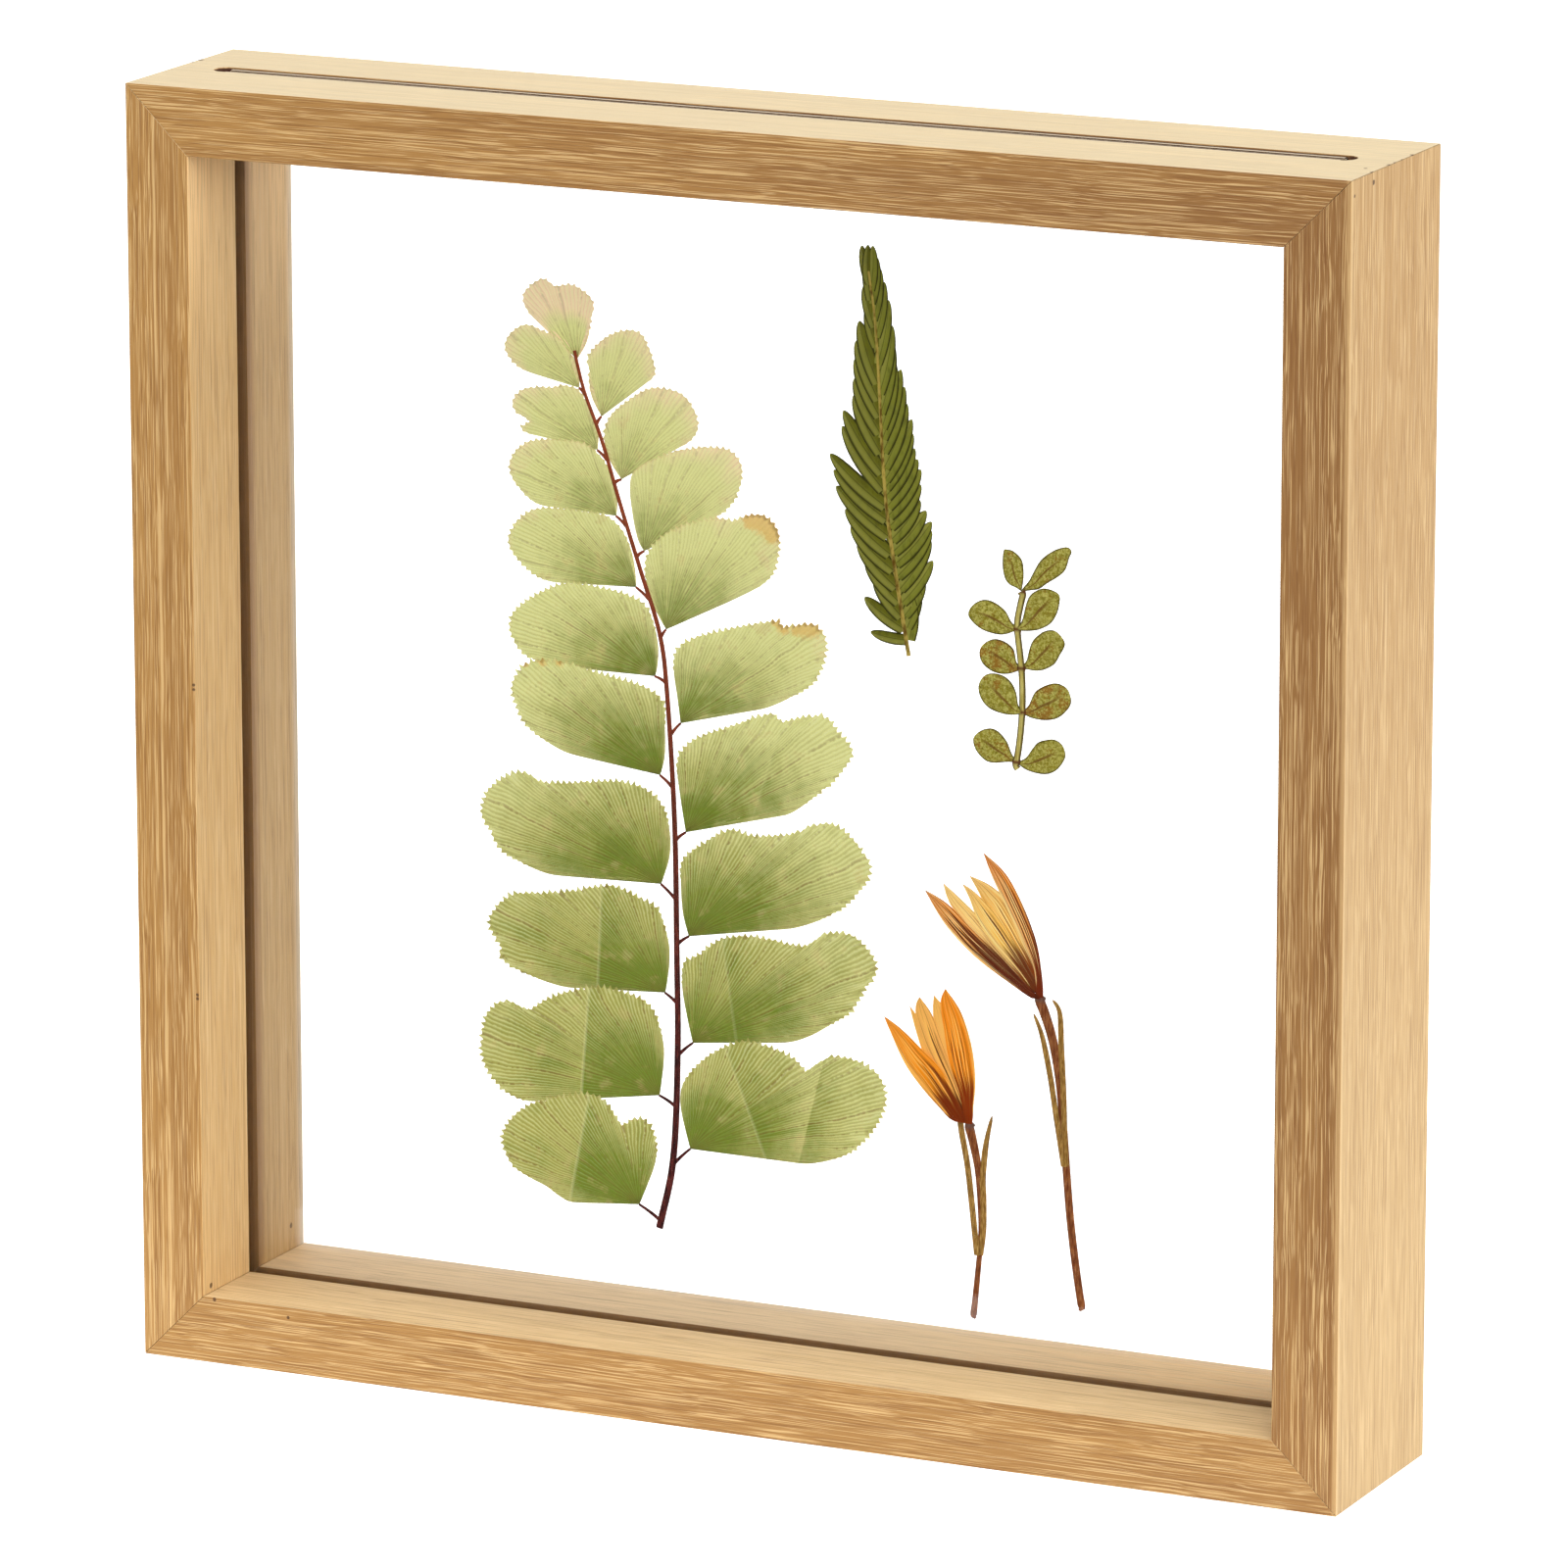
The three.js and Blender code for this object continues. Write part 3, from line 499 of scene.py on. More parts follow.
def railMaterial(name, looks):
    paint, graph = material(name)
    place = graph.place()
    x, y, z = graph.axes(place)
    facing = graph.facing()
    front = abs(facing[1]).ease(0.5, 0.8)
    upward = facing[2].ease(0.5, 0.8)
    lengthwise = x / 100 if looks["along"] == 0 else (z - 100) / 100

    def stretched(point, length, width):
        factors = [1 / width] * 3
        factors[looks["along"]] = 1 / length
        return graph.stretch(point, factors)

    bend = (graph.noise(stretched(place, 16, 4), 1.0, 1.0) - 0.5) * rail["wobble"]
    bent = graph.shift(place, graph.join(bend, bend, bend))

    def grain(size, offset, detail=1.0):
        return graph.noise(stretched(graph.shift(bent, (offset,) * 3), *size), 1.0, detail)

    figure = grain(rail["bands"], 31, 2.0) - 0.5
    shade = (lengthwise * looks["lean"] + looks["age"] + figure * rail["figure"] * 2).ease(-0.1, 1.1)
    # painted light towards the upper ends of the opening's sides, and a painted highlight along their back
    # edges
    inner = z.ease(150, 194).mix(rail["inner"], rail["innerTopLit"])
    inner = (y.ease(14.5, 17.2) * 0.7).mix(inner, rail["innerBackHighlight"])
    side = z.ease(190, 0).mix(rail["side"], rail["sideLow"])
    outside = abs(x).ease(96, 98)
    wall = outside.mix(inner, side)
    # painted light: the lower rail behind the panes lighter towards its right end, against the right side's
    # shadow
    sillBack = x.ease(0, 88).mix(rail["sillBack"], rail["sillRightLit"])
    sill = y.ease(-2.5, 3.0).mix(rail["sill"], sillBack)
    # upward faces: the lower rail's take the sill colours, the top rail's its own paler colour, a painted
    # sheen
    top = z.ease(90, 110)
    wall = upward.mix(wall, top.mix(sill, rail["top"]))
    colour = front.mix(wall, shade.mix(rail["front"], rail["frontDark"]))
    rows = grain(rail["rows"], 77) - 0.5
    cream = (grain(rail["lightLines"], 57, 2.0) + rows * 0.4).ease(0.52, 0.67)
    dark = (grain(rail["darkLines"], 91, 2.0) + rows * 0.4).ease(0.48, 0.35)
    long = grain(rail["longLines"], 19).ease(0.6, 0.7)
    cream = graph.math("MAXIMUM", cream, long)
    for middle in looks.get("streaks", ()):
        away = abs(x + bend * 1.6 - middle)
        broken = grain((14, 3), 5).ease(0.3, 0.5)
        cream = graph.math("MAXIMUM", cream, away.ease(0.3, 0.1) * broken)
        beside = abs(x + bend - (middle + 2)).ease(2.2, 1.0)
        dark = graph.math("MAXIMUM", dark, beside * 0.35)
    # a painted highlight along the front edge of the right side, laid in with the pale grain lines
    arris = (x - y + bend * 0.3).ease(116.3, 116.8)  # the pale front edge of the right side
    cream = graph.math("MAXIMUM", cream, arris * 0.6)
    top = upward * top
    sillShare = upward - top
    # the grain lines are fainter on the top rail's upper face, under its painted sheen
    colour = (dark * (0.36 + 0.1 * front + 0.06 * sillShare - 0.22 * top)).mix(colour, rail["brown"])
    pale = front.mix(rail["sideCream"], rail["cream"])
    colour = (cream * (0.5 + 0.02 * sillShare - 0.18 * top)).mix(colour, pale)
    across = abs(y).ease(rail["pocketHalf"], rail["pocketHalf"] - 0.15)
    within = abs(x).ease(rail["pocketEnd"] + 0.4, rail["pocketEnd"])
    below = z.ease(199.95, 199.75) * z.ease(1.0, 2.0)
    # painted shadow on the inner sides just behind the panes
    paneShadow = y.ease(5.0, 2.0) * y.ease(0.0, 1.0) * within * (1 - front) * (1 - upward)
    colour = (paneShadow * 0.75).mix(colour, rail["paneShadow"])
    # painted shade inside the pocket: dark towards its front and in the top slot, lighter towards its back
    pocketShading = (y.ease(-1.2, 2.1) * z.ease(197, 193)).mix(rail["pocketShade"], rail["pocket"])
    colour = (across * within * below).mix(colour, pocketShading)
    height = cream * 0.6 - dark * 0.5
    for pitX, pitY, pitZ, radius in looks["pits"]:
        rough = radius * (0.6 + 0.8 * graph.noise(place, 1.4, 2.0))
        away = graph.vector("DISTANCE", place, (pitX, pitY, pitZ), "Value")
        pit = (away - rough).ease(0.0, -0.3 * radius)
        colour = (pit * 0.85).mix(colour, rail["pit"])
        height = height - pit * 2.0
    graph.surface(colour, shade.ease(0.0, 1.0, 0.52, 0.6), height, 0.03, **{"Specular IOR Level": 0.3})
    return paint


# A copy of a CAD node's mesh, its flat sides whole again.
def wholeCopy(node):
    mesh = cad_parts[node].data.copy()
    mesh.materials.clear()
    shape = mergedShape(mesh)
    bmesh.ops.dissolve_limit(shape, angle_limit=radians(1), verts=shape.verts, edges=shape.edges)
    return mesh, shape


# A rail is its CAD solid with every arris rounded by a bevel whose width is an edge's weight: full
# along the outer arrises, small at the mitres and along the pocket.
def addRail(side, looks):
    node = "frame_" + side
    mesh, shape = wholeCopy(node)
    weight = shape.edges.layers.float.new("bevel_weight_edge")
    for edge in shape.edges:
        first, second = (corner.co for corner in edge.verts)
        lengthwise = abs((second - first).normalized()[looks["along"]]) > 0.99
        atPocket = max(abs(first.y), abs(second.y)) < rail["pocketHalf"] * mm
        if edge.calc_face_angle(0.0) > radians(30):
            edge[weight] = 1.0 if lengthwise and not atPocket else rail["fineArris"] / rail["arris"]
    finishMesh(mesh, shape, 30)
    piece = addPiece(side + "_rail", mesh, railMaterial(side + "_rail_wood", looks), "frame_wood", node)
    bevel = piece.modifiers.new("arris", "BEVEL")
    bevel.limit_method = "WEIGHT"
    bevel.width = rail["arris"] * mm
    bevel.segments = 3
    bevel.harden_normals = True


for railSide, railLook in railLooks.items():
    addRail(railSide, railLook)
print("rails ready")

pane = {
    "arris": 0.18,
    "colour": (1.0, 1.0, 0.998, 1.0),
    "cut": (196, 178, 152),  # the sawn upper edges, frosted, and where the slot shades them
    "cutShaded": (74, 56, 34),
    "ior": 1.5,
}


def addPanes():
    paint, graph = material("clear_glass")
    clear = {"Base Color": pane["colour"], "Roughness": 0.0, "Transmission Weight": 1.0, "IOR": pane["ior"]}
    glass = graph.result("BsdfPrincipled", clear)
    behind = graph.axes(graph.place())[1].ease(1.1, 1.5)
    cut = behind.mix(pane["cut"], pane["cutShaded"])
    frosted = graph.result("BsdfPrincipled", {"Base Color": cut, "Roughness": 0.6})
    sawn = graph.facing()[2].ease(0.5, 0.8)
    graph.show(graph.result("MixShader", {0: sawn, 1: glass, 2: frosted}))
    for name, node in (("front_pane", "glass_front"), ("back_pane", "glass_back")):
        mesh, shape = wholeCopy(node)
        bmesh.ops.bevel(shape, geom=shape.edges[:], offset=pane["arris"] * mm, segments=2, affect="EDGES")
        shape.to_mesh(mesh)
        shape.free()
        addPiece(name, mesh, paint, "pane_glass", node)


addPanes()
print("panes ready")

fern = {
    "stemRoute": [
        (-19, 25.7), (-16.6, 37), (-15.8, 54), (-15.9, 70), (-16.2, 90), (-17.4, 110), (-18.6, 119),
        (-21.6, 128), (-25, 138), (-28.2, 148), (-31, 155), (-32.3, 159.6), (-32.7, 161.4),
    ],
    "stemWidths": (1.2, 0.55),
    "stemDepth": 0.5,
    "stalkWidth": 0.62,
    "leaves": {"left": 10, "right": 9},
    "toothPitch": 1.0,
    "rightRipe": 0.13,  # how much paler the leaves on the right are, and the tip's leaf at its border
    "tipRipe": 1.1,
    "toothHeight": 0.85,
    "samplesPerTooth": 4,
    "toothed": (0.26, 0.33, 0.84, 0.9),  # shares of the border where the teeth start, are full, and end
    "hug": 0.75,  # how much nearer to the stem an upper leaf's inner edge is than in the CAD
    "thickness": 0.1,
    "rows": (0, 0.08, 0.18, 0.3, 0.42, 0.54, 0.66, 0.77, 0.86, 0.925, 0.965, 1),
    # a leaf's folds: two points on each in x and z, and a strength of the painted light and shade on its two
    # facets
    "folds": {
        "left_1": (((-31, 44.7), (-33.6, 32), 0.8),),
        "left_2": (((-30.9, 61), (-32.3, 45.6), 1.0),),
        "left_3": (((-29, 69.8), (-29.4, 63), 0.7),),
        "right_1": (((-5.8, 50.8), (-2, 41.2), 0.6), ((8.7, 54.9), (4.6, 39), 0.7)),
        "right_2": (((-8, 72), (-6, 57), 0.45),),
        "right_4": (((2, 107), (-3, 92), 0.2),),
    },
    # brown marks on a leaf's rim: x, z and a radius
    "scorches": {
        "right_5": ((0.8, 122.9, 0.9), (2.2, 121.7, 1.1), (4.6, 121.8, 1.1), (7.0, 122.2, 1.6)),
        "right_6": ((-3.4, 138, 1.3), (-1.3, 137.8, 1.8), (0.5, 135.9, 1.5)),
        "left_5": ((-41.5, 112.3, 0.8), (-38.5, 112.9, 0.9), (-35.5, 113, 0.8)),
    },
    "scorch": (226, 184, 98),
    "scorchRim": (140, 96, 34),
    "green": (118, 138, 46),
    "pale": (184, 182, 99),
    "straw": (225, 225, 150),
    "blush": (254, 228, 184),
    "tan": (206, 186, 118),
    "vein": (116, 98, 46),
    "thread": (122, 84, 48),
    "between": (230, 230, 172),
    "edge": (196, 172, 106),
    "stem": ((92, 38, 34), (54, 22, 22), (146, 74, 52)),  # its colour, and its dark and light streaks
    "stemTop": (150, 70, 40),
    "stemFade": (50, 150),  # the heights between which the stem turns to its top's colour
}


def fernMaterial():
    paint, graph = material("fern_leaf")
    place = graph.place()
    along, share = graph.uv()
    wander = graph.noise(place, 0.12, 2)
    mottle = graph.noise(place, 1.6, 3)
    reach = along + (wander - 0.5) * 2.2 + (mottle - 0.5) * 0.3

    def stripes(pitch, offset=0.0):  # fine lines a pitch apart along the border
        return 0.5 + 0.5 * graph.math("SINE", reach * (2 * pi / pitch) + offset)

    # painted light and shade of a fold's two facets: lighter to its left, greener and darker to its right
    def foldLightAndShade(name):  # paler to the left of a fold, greener to its right
        right = graph.attribute(name)
        beyond = right.ease(-0.08, 0.08)
        return right.ease(-9, 0) * (1 - beyond) - right.ease(7, 0) * beyond * 0.8

    fine = stripes(fern["toothPitch"] * 0.8)
    middle = stripes(2 * fern["toothPitch"] * 0.8)
    coarse = stripes(4 * fern["toothPitch"] * 0.8)
    wave = coarse + (middle - coarse) * share.ease(0.16, 0.24)
    wave = wave + (fine - wave) * share.ease(0.4, 0.5)
    broad = graph.noise(place, 0.12, 3)
    patch = graph.noise(place, 0.3, 2)
    rays = graph.noise(graph.join(along * 0.55, share * 1.2, broad * 2), 1.0, 2)
    ripe = graph.attribute("ripe") + (patch - 0.5) * 0.5
    # painted light and shade of the folds
    foldShading = (foldLightAndShade("foldA") + foldLightAndShade("foldB")) * graph.attribute("creased")
    pale = share + (broad - 0.5) * 1.1 + (rays - 0.5) * 0.9 + foldShading * 0.26
    colour = pale.ease(0.16, 1.05).mix(fern["green"], fern["pale"])
    colour = (ripe + foldShading * 0.2 + (rays - 0.5) * 0.3).ease(0.2, 0.95).mix(colour, fern["straw"])
    colour = ((patch + mottle * 0.3).ease(0.72, 0.9) * 0.4).mix(colour, fern["tan"])
    colour = ripe.ease(1.0, 1.6).mix(colour, fern["blush"])
    faint = 1 - ripe.ease(0.3, 1.1) * 0.5
    wave = wave + (mottle - 0.5) * 0.6 + (rays - 0.5) * 0.4
    veins = wave.ease(0.5, 1.0)
    gaps = wave.ease(0.4, 0.0)
    colour = (veins * faint * share.ease(0.0, 1.0, 0.5, 0.26)).mix(colour, fern["vein"])
    colour = (gaps * share.ease(0.2, 1.0, 0.04, 0.46)).mix(colour, fern["between"])
    thread = stripes(4.1, 1.3).ease(0.93, 1.0) * (mottle + rays).ease(0.9, 1.15)
    colour = (thread * faint * 0.5).mix(colour, fern["thread"])
    heel = share.ease(0.2, 0.0) * wave.ease(0.3, 0.8)
    colour = (heel * 0.6).mix(colour, fern["thread"])
    # a painted highlight along the first fold
    foldHighlight = abs(graph.attribute("foldA")).ease(0.4, 0.1) * graph.attribute("creased")
    colour = (foldHighlight * 0.25).mix(colour, fern["between"])
    rim = graph.attribute("edge").ease(0.35, 0.0) * 0.4
    colour = rim.mix(colour, fern["edge"])
    burnt = (graph.attribute("scorch") + (mottle - 0.5) * 0.8).ease(0.2, 0.8)
    colour = (burnt * 0.7).mix(colour, fern["scorch"])
    colour = (burnt * graph.attribute("edge").ease(0.8, 0.3) * 0.5).mix(colour, fern["scorchRim"])
    graph.leafSurface(colour, 0.62, veins, 0.03)
    return paint


# The signed distance in millimetres from a fold, above 0 on its right.
def foldDistance(x, z, fold):
    (topX, topZ), (lowX, lowZ), _ = fold
    length = np.hypot(topX - lowX, topZ - lowZ)
    return ((x - lowX) * (topZ - lowZ) - (z - lowZ) * (topX - lowX)) / length


# A fan blade: a ray runs from the foot to each place on the border, and a share from 0 to 1 runs
# along each ray. The border's teeth are a saw wave pushed outwards along the border's own normal.
def addFernLeaf(name, paint):
    node = "fern_leaf_" + name
    side = 1 if name.startswith("right") else -1
    border, slope, level = borderOf(node)
    foot = np.argmin(border @ (side, 1))
    border = np.roll(border, -foot, axis=0)
    border = np.vstack([border, border[:1]])
    if border[len(border) // 6, 1] > border[-len(border) // 6, 1]:
        border = border[::-1]
    length = np.linalg.norm(np.diff(border, axis=0), axis=1).sum()
    teeth = int(length / fern["toothPitch"])
    count = teeth * fern["samplesPerTooth"] + 1
    rim = curveThrough(border, count)
    share = np.linspace(0, 1, count)
    forward = np.gradient(rim, axis=0)
    outward = np.stack([forward[:, 1], -forward[:, 0]], axis=1)
    outward /= np.linalg.norm(outward, axis=1)[:, None] + 1e-9
    turn = np.sign((np.roll(rim[:, 0], -1) * rim[:, 1] - rim[:, 0] * np.roll(rim[:, 1], -1)).sum())
    outward *= -turn
    saw = (share * teeth) % 1
    size = np.repeat(rng.uniform(0.3, 1.15, teeth + 1), fern["samplesPerTooth"])[:count]
    toothed = np.interp(share, fern["toothed"], (0, 1, 1, 0))
    high = clamp((rim[0, 1] - 100) / 35)
    point = (1 - np.abs(2 * saw - 1)) ** 1.5 - 0.4
    push = fern["toothHeight"] * (1 - 0.45 * high) * size * toothed * point
    push = push + fern["hug"] * high * np.sin(pi * clamp((share - 0.8) / 0.2))
    rays = np.array(fern["rows"])
    base = rim[0]
    flat = base + rays[None, :, None] * (rim[:, None] - base)
    flat = flat + (push[:, None] * outward)[:, None] * clamp((rays - 0.9) / 0.1)[None, :, None]
    rayLength = np.linalg.norm(rim - base, axis=1)
    edge = rayLength[:, None] * (1 - rays)
    across = share[:, None] * length * np.ones_like(rays)
    phase = rng.uniform(0, 6, 4)
    x, z = flat[..., 0], flat[..., 1]
    folds = fern["folds"].get(name, ())
    away = [foldDistance(x, z, fold) for fold in folds] + [np.full_like(x, 99.0)] * 2
    ridge = sum(bell(distance, 0.9) for distance in away)
    creased = np.full_like(x, folds[0][2] if folds else 0.0)
    ripple = 0.02 * np.sin(0.55 * x + 0.2 * z + phase[0]) + 0.02 * np.sin(0.3 * x - 0.5 * z + phase[1])
    ripple = ripple + 0.012 * np.sin(across * 2 * pi / 2.2) * np.minimum(edge, 1) - 0.05 * ridge
    half = 0.5 * fern["thickness"] * np.clip(edge / 0.6, 0.35, 1)
    top = clamp((z - 72) / 85)
    tip = clamp((rayLength[:, None] * rays) / 28)
    ripe = 0.7 * top + 0.4 * tip ** 2 + 0.6 * top * rays ** 2
    if side > 0:
        ripe = ripe + fern["rightRipe"] * (1 - top)
    if name == "tip":
        ripe = ripe + fern["tipRipe"] * rays ** 2
    scorch = 0 * x
    for markX, markZ, radius in fern["scorches"].get(name, ()):
        scorch = scorch + np.exp(-((x - markX) ** 2 + (z - markZ) ** 2) / radius ** 2)
    uv = np.stack([across, np.broadcast_to(rays, across.shape)], axis=-1)
    extra = {"edge": edge, "ripe": ripe, "scorch": scorch}
    extra |= {"foldA": away[0], "foldB": away[1], "creased": creased}
    addBlade(node, paint, "fern_leaf", flat, (slope, level), ripple, half, uv, extra)
    return side, base, level + slope * base[1]


# A tube along a route: an oval with a half width and a half depth at each place on it, closed by a
# last ring that has shrunk to a point at each end.
def tubeParts(route, halfWidth, halfDepth, sides=12):
    count = len(route)
    forward = np.gradient(route, axis=0)
    across = np.stack([forward[:, 2], np.zeros(count), -forward[:, 0]], axis=1)
    across /= np.linalg.norm(across, axis=1)[:, None]
    halfWidth, halfDepth = (np.broadcast_to(half, count)[:, None] for half in (halfWidth, halfDepth))
    angle = np.linspace(0, 2 * pi, sides, endpoint=False)
    ring = route[:, None] + across[:, None] * (halfWidth * np.cos(angle))[..., None]
    ring = ring + np.array([0, 1, 0]) * (halfDepth * np.sin(angle))[..., None]
    ring = np.concatenate([np.repeat(route[:1, None], sides, 1), ring, np.repeat(route[-1:, None], sides, 1)])
    closed = np.concatenate([ring, ring[:, :1]], axis=1)
    share = np.r_[0, np.linspace(0, 1, count), 1]
    uv = gridUv(np.linspace(0, 1, sides + 1), share)
    return closed.reshape(-1, 3) * mm, gridFaces(count + 2, sides + 1), uv.reshape(-1, 2)


# A stem's colours run in streaks along it. A crown, if any, is the heights between which its colour
# changes, and the colour of its top.
def stemMaterial(name, colours, pitch=0.35, crown=None):
    paint, graph = material(name)
    colour, dark, light = colours
    place = graph.place()
    streak = graph.noise(graph.stretch(place, (1 / pitch, 1 / pitch, 0.2 / pitch)), 1.0, 3)
    shade = streak.ease(0.35, 0.65).mix(dark, colour)
    shade = (streak.ease(0.6, 0.8) * 0.6).mix(shade, light)
    if crown is not None:
        low, high, topColour = crown
        shade = (graph.axes(place)[2].ease(low, high) * 0.8).mix(shade, topColour)
    graph.leafSurface(shade, 0.5, streak, 0.04)
    return paint


def addFern():
    paint = fernMaterial()
    names = [f"{side}_{i + 1}" for side, count in fern["leaves"].items() for i in range(count)]
    feet = [addFernLeaf(name, paint) for name in names]
    addFernLeaf("tip", paint)
    route = curveThrough(fern["stemRoute"], 120)
    spine = np.insert(route, 1, 0.0, axis=1)
    width = np.linspace(*fern["stemWidths"], len(route)) / 2
    parts = [tubeParts(spine, width, fern["stemDepth"] / 2 * np.linspace(1, 0.7, len(route)))]
    steps = np.linspace(0, 1, 10)[:, None]
    for side, foot, depth in feet:
        drop = 0.65 if side < 0 else 0.85
        at = np.argmin(np.abs(route[:, 1] - (foot[1] - drop * np.abs(foot[0] - route[:, 0]))))
        start = spine[at]
        end = np.array([foot[0], 0.5 * depth, foot[1]])
        line = start + (end - start) * steps + np.array([0, 0, 0.12]) * np.sin(pi * steps)
        parts.append(tubeParts(line, fern["stalkWidth"] / 2 * np.linspace(1, 0.6, len(line)), 0.2))
    crown = (*fern["stemFade"], fern["stemTop"])
    stemPaint = stemMaterial("fern_stem", fern["stem"], crown=crown)
    addSurface("fern_stem", "tube", stemPaint, "fern_stem", joinParts(parts))


addFern()
print("fern ready")

feather = {
    "rachis": [
        (16.1, 177.4), (17.2, 169.8), (18, 157.7), (18.5, 148.5), (19.3, 140.2), (21, 129.6), (22.8, 119.5),
    ],
    "rachisWidths": (0.35, 0.7),
    # the wing: green that joins the leaflets' feet, kept dark as painted shade in the gaps between them
    "wing": 0.75,  # the half width of the green that joins the leaflets' feet, and its lower end
    "wingFrom": 122.6,
    "depth": 0.3,
    # foot x and z, tip x and z, and width of each leaflet, from the top down
    "left": [
        (16.3, 175.4, 15, 181.2, 1.1), (16.5, 173, 16, 181.4, 1.3), (17.1, 169, 15.4, 175.3, 1.3),
        (17.4, 166, 15.8, 172, 1.3), (17.7, 160.5, 14.6, 169.8, 1.8), (17.8, 158, 14.1, 166.8, 1.8),
        (18, 155.5, 13.9, 164, 1.8), (18.1, 153, 13.8, 161, 1.9), (18.2, 150, 13.7, 158.5, 1.9),
        (18.4, 147, 12, 156, 1.9), (18.6, 144.5, 11.8, 153.6, 1.9), (18.9, 142, 9.8, 149.2, 1.9),
        (19.1, 140, 10.4, 146.8, 1.9), (19.4, 137.5, 10.8, 144.4, 1.9), (19.7, 134.8, 12.3, 141, 1.9),
        (20.2, 132.4, 13.2, 138.4, 1.9), (20.7, 129.8, 14.3, 136, 1.9), (21.2, 127.6, 15.6, 133.4, 1.8),
        (21.6, 125.4, 17, 131, 1.8), (22, 123.6, 15.5, 127.8, 1.7),
        (22.5, 121.9, 16.5, 122.6, 1.3),
    ],
    "right": [
        (16.4, 174.5, 16.8, 181.3, 1.3), (16.6, 172.5, 17.5, 179.6, 1.2), (16.9, 170, 18, 178, 1.2),
        (17.3, 167.5, 18.7, 176, 1.3), (17.6, 163.5, 19.4, 173.3, 1.4), (17.9, 159, 20, 169.5, 1.5),
        (18.1, 156, 20.2, 166.8, 1.5), (18.3, 153.8, 20.5, 163.8, 1.6), (18.4, 152.2, 21.4, 163, 1.6),
        (18.5, 150.2, 22, 160.4, 1.7), (18.7, 147.8, 22.4, 157.9, 1.7), (18.8, 146, 23.2, 155.6, 1.7),
        (18.9, 144.8, 23.4, 153.4, 1.7), (19, 143.5, 23.7, 151.2, 1.8), (19.2, 142, 24.2, 149.6, 1.8),
        (19.4, 140.6, 24.7, 148.1, 1.8), (19.6, 139, 24.7, 145.8, 1.8), (19.9, 137, 24.6, 143.4, 1.8),
        (20.2, 135.2, 25.6, 141.9, 1.8), (20.6, 133.4, 26.5, 140.3, 1.7), (20.9, 131.5, 26.5, 138.9, 1.7),
        (21.3, 129.6, 26.4, 137.4, 1.7), (21.7, 127.6, 26.7, 134.4, 1.6), (22.1, 125.6, 25.4, 131.2, 1.5),
        (22.5, 123.8, 24.6, 129.8, 1.5), (22.9, 121.9, 23.4, 128.6, 1.6),
    ],
    "leafletSpread": 1.45,  # how much wider than listed, so that each covers the next one's edge
    "leafletTilt": 0.09,
    "leafletThickness": 0.07,
    "leftColour": (100, 100, 22),
    "rightColour": (126, 128, 44),
    # the dark of the mottling, and painted shade along each leaflet's edges where it meets the next
    "shade": (44, 42, 0),
    # a painted highlight over one side of each leaflet
    "leafletHighlight": (156, 154, 72),
    "rachisColour": (176, 152, 70),
    "rachisEdge": (98, 74, 22),
}


def featherMaterial():
    paint, graph = material("feather_leaf")
    place = graph.place()
    across = graph.uv()[0]
    mottle = graph.noise(graph.stretch(place, (1.2, 1.2, 0.5)), 1.0, 3)
    colour = graph.attribute("side").mix(feather["leftColour"], feather["rightColour"])
    colour = (mottle.ease(0.45, 0.75) * 0.4).mix(colour, feather["shade"])
    middle = abs(across - 0.5)
    # a painted highlight over one side of each leaflet and painted shade along its edges; a dark line down
    # its middle
    colour = (across.ease(0.3, 0.75) * 0.5).mix(colour, feather["leafletHighlight"])
    colour = (middle.ease(0.32, 0.46) * 0.95).mix(colour, feather["shade"])
    colour = (middle.ease(0.06, 0.0) * 0.6).mix(colour, feather["shade"])
    bark = mottle.ease(0.35, 0.6).mix(feather["rachisEdge"], feather["rachisColour"])
    colour = graph.attribute("rachis").mix(colour, bark)
    graph.leafSurface(colour, 0.55, mottle, 0.03)
    return paint


# A leaflet: straight from foot to tip with a slight upward bow. Its width grows as a sine from 0.85 at
# the foot to 1 at 0.35 of its length and closes as (1 - s^4)^0.6; its lower edge lies over the next one.
def leafletParts(leaflet, side):
    footX, footZ, tipX, tipZ, width = leaflet
    s = (1 - np.cos(np.linspace(0, pi, 22))) / 2
    v = np.linspace(-1, 1, 9)
    foot, tip = np.array([footX, footZ]), np.array([tipX, tipZ])
    ahead = tip - foot
    length = np.hypot(*ahead)
    sideways = np.array([-ahead[1], ahead[0]]) / length
    bow = 0.035 * length * np.sin(pi * s) * side
    reach = feather["leafletSpread"] * width / 2 * (0.85 + 0.15 * np.sin(pi / 2 * clamp(s / 0.35)))
    reach = reach * clamp(1 - s ** 4) ** 0.6
    aside = v[None] * reach[:, None] - bow[:, None]
    flat = foot + s[:, None, None] * ahead + aside[..., None] * sideways
    tilt = feather["leafletTilt"] * v[None] * (reach / reach.max())[:, None] * side
    groove = 0.03 * bell(v[None], 0.15) * np.sin(pi * s)[:, None]
    half = feather["leafletThickness"] / 2
    upright = (0.0, 0.0)
    front = lift(flat, upright, tilt + groove - half)
    back = lift(flat, upright, tilt + groove + half)
    return sheetParts(front, back, gridUv((v + 1) / 2, s))


